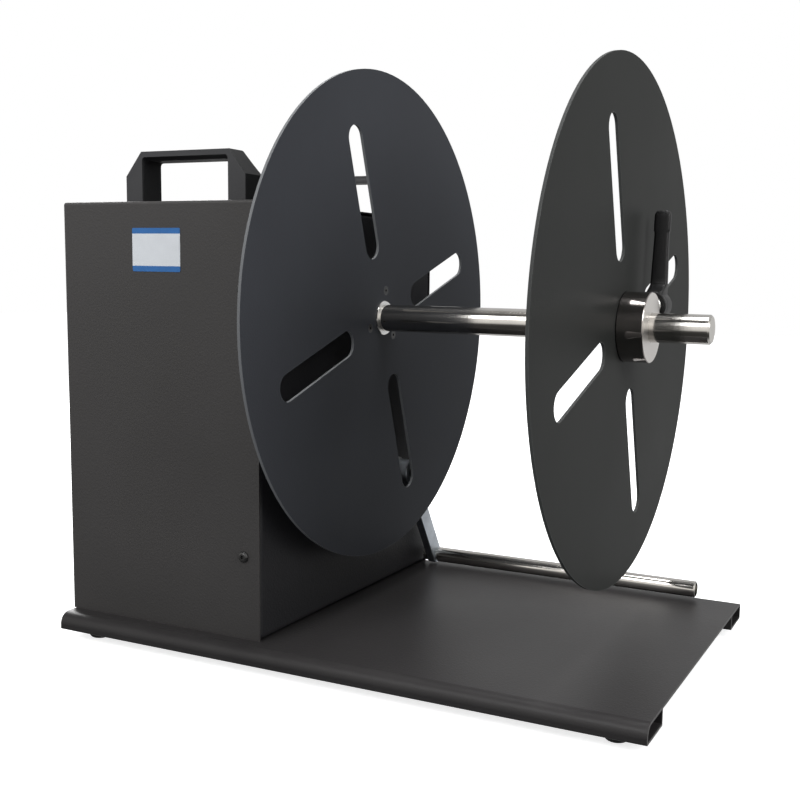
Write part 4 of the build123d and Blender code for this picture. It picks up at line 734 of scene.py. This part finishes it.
# floor, lights and camera
stageLook = {"floorColour": (0.8, 0.8, 0.8), "backdrop": (1.0, 1.0, 1.0, 1), "ambient": (0.92, 0.95, 1.0),
             "ambientStrength": 0.30, "backWall": 0.62, "wallEdge": 0.45, "floorReach": 6.0,
             "glowFrom": 0.42, "glowTo": 1.1, "nearGlow": 0.78, "farGlow": 1.1, "stripTint": (1, 0.98, 0.95),
             "strips": [(0.0, 0.04), (0.02, 0.05), (0.03, 0.42), (0.08, 0.42), (0.10, 0.05), (0.25, 0.05),
                        (0.36, 0.10), (0.45, 0.85), (0.70, 1.25), (0.79, 1.0), (0.82, 0.12), (0.93, 0.12),
                        (0.96, 0.35), (1.0, 0.4)]}


def makeFloor():
    mesh = bpy.data.meshes.new("floorSheet")
    reach = stageLook["floorReach"]
    corners = [(-reach, -reach, 0), (reach, -reach, 0), (reach, reach, 0), (-reach, reach, 0)]
    mesh.from_pydata(corners, [], [(0, 1, 2, 3)])
    floor = bpy.data.objects.new("floorSheet", mesh)
    scene.collection.objects.link(floor)
    material, tree, shader = startMaterial("floorPaper")
    shader.inputs["Base Color"].default_value = stageLook["floorColour"] + (1,)
    shader.inputs["Roughness"].default_value = 0.9
    shader.inputs["Specular IOR Level"].default_value = 0.1
    # the paper is lit from below, less so near the machine, where its soft shadow shows
    place = addNode(tree, "ShaderNodeTexCoord")
    away = addNode(tree, "ShaderNodeVectorMath", operation="LENGTH")
    tree.links.new(place.outputs["Object"], away.inputs[0])
    glow = addRange(tree, away.outputs["Value"], stageLook["glowFrom"], stageLook["glowTo"],
                    stageLook["nearGlow"], stageLook["farGlow"])
    level = addNode(tree, "ShaderNodeCombineColor")
    linkUp(tree, [(glow, level.inputs[0]), (glow, level.inputs[1]), (glow, level.inputs[2]),
                  (level.outputs[0], shader.inputs["Emission Color"])])
    shader.inputs["Emission Strength"].default_value = 1.0
    mesh.materials.append(material)
    floor.visible_glossy = False
    floor.visible_diffuse = False


def makeWorld():
    # the camera sees plain white; polished metal sees pale strips before it and a bright wall behind;
    # everything else gets a soft glow
    world = bpy.data.worlds.new("studio")
    world.use_nodes = True
    tree = world.node_tree
    background = tree.nodes["Background"]
    path = addNode(tree, "ShaderNodeLightPath")
    ways = splitPlace(tree, "Generated")
    heights = addNode(tree, "ShaderNodeValToRGB")
    ramp = heights.color_ramp
    stops = stageLook["strips"]
    while len(ramp.elements) < len(stops):
        ramp.elements.new(0.5)
    for element, (at, level) in zip(ramp.elements, stops):
        element.position = at
        element.color = scaled(stageLook["stripTint"], level)
    tree.links.new(addRange(tree, ways["Z"], -1.0, 1.0, 0.0, 1.0), heights.inputs["Fac"])
    behind = addNode(tree, "ShaderNodeMapRange", interpolation_type="SMOOTHSTEP")
    behind.inputs["From Min"].default_value = 0.0
    behind.inputs["From Max"].default_value = stageLook["wallEdge"]
    tree.links.new(ways["Y"], behind.inputs["Value"])
    wall = scaled((1, 1, 1), stageLook["backWall"])
    hall = mixColour(tree, behind.outputs["Result"], heights.outputs["Color"], wall)
    ambient = scaled(stageLook["ambient"], stageLook["ambientStrength"])
    lit = mixColour(tree, path.outputs["Is Glossy Ray"], ambient, hall)
    shown = mixColour(tree, path.outputs["Is Camera Ray"], lit, stageLook["backdrop"])
    tree.links.new(shown, background.inputs["Color"])
    background.inputs["Strength"].default_value = 1.0
    scene.world = world


def addSoftbox(name, place, target, size, power):
    light = bpy.data.lights.new(name, "AREA")
    light.shape = "RECTANGLE"
    light.size, light.size_y = size
    light.energy = power
    lamp = bpy.data.objects.new(name, light)
    scene.collection.objects.link(lamp)
    lamp.location = place
    lamp.rotation_euler = (Vector(target) - Vector(place)).to_track_quat("-Z", "Y").to_euler()


cameraLook = {"azimuth": 0.4393, "down": 0.1261, "roll": 0.0180, "focal": 1098.04,
              "centre": (456.08, 415.72), "place": (0.47231, -0.91222, 0.33398), "frame": 800.0}


def makeCamera(look):
    camera = bpy.data.cameras.new("photoCamera")
    camera.sensor_width = 36.0
    camera.lens = look["focal"] / look["frame"] * camera.sensor_width
    half = look["frame"] / 2
    camera.shift_x = (half - look["centre"][0]) / look["frame"]
    camera.shift_y = (look["centre"][1] - half) / look["frame"]
    camera.clip_start, camera.clip_end = 0.01, 50.0
    rig = bpy.data.objects.new("photoCamera", camera)
    scene.collection.objects.link(rig)
    azimuth, down, roll = look["azimuth"], look["down"], look["roll"]
    ahead = Vector((-sin(azimuth) * cos(down), cos(azimuth) * cos(down), -sin(down)))
    right = Vector((cos(azimuth), sin(azimuth), 0))
    up = right.cross(ahead)
    rolledRight = cos(roll) * right + sin(roll) * up
    rolledUp = -sin(roll) * right + cos(roll) * up
    turn = Matrix((rolledRight, rolledUp, -ahead)).transposed()
    rig.rotation_mode = "QUATERNION"
    rig.rotation_quaternion = turn.to_quaternion()
    rig.location = look["place"]
    scene.camera = rig


makeFloor()
makeWorld()
addSoftbox("keyBox", (-0.3, -1.8, 1.7), (0, 0, 0.2), (1.4, 1.0), 22.0)
addSoftbox("sideBox", (1.7, -0.5, 1.3), (0, 0, 0.25), (1.0, 1.2), 19.0)
addSoftbox("topBox", (0.12, 0.1, 2.3), (0.05, 0, 0.2), (0.95, 1.2), 27.0)
addSoftbox("rearBox", (-1.7, 1.1, 1.1), (0, 0, 0.25), (1.2, 1.2), 34.0)
makeCamera(cameraLook)
scene.view_settings.view_transform = "Standard"
print("stage ready")
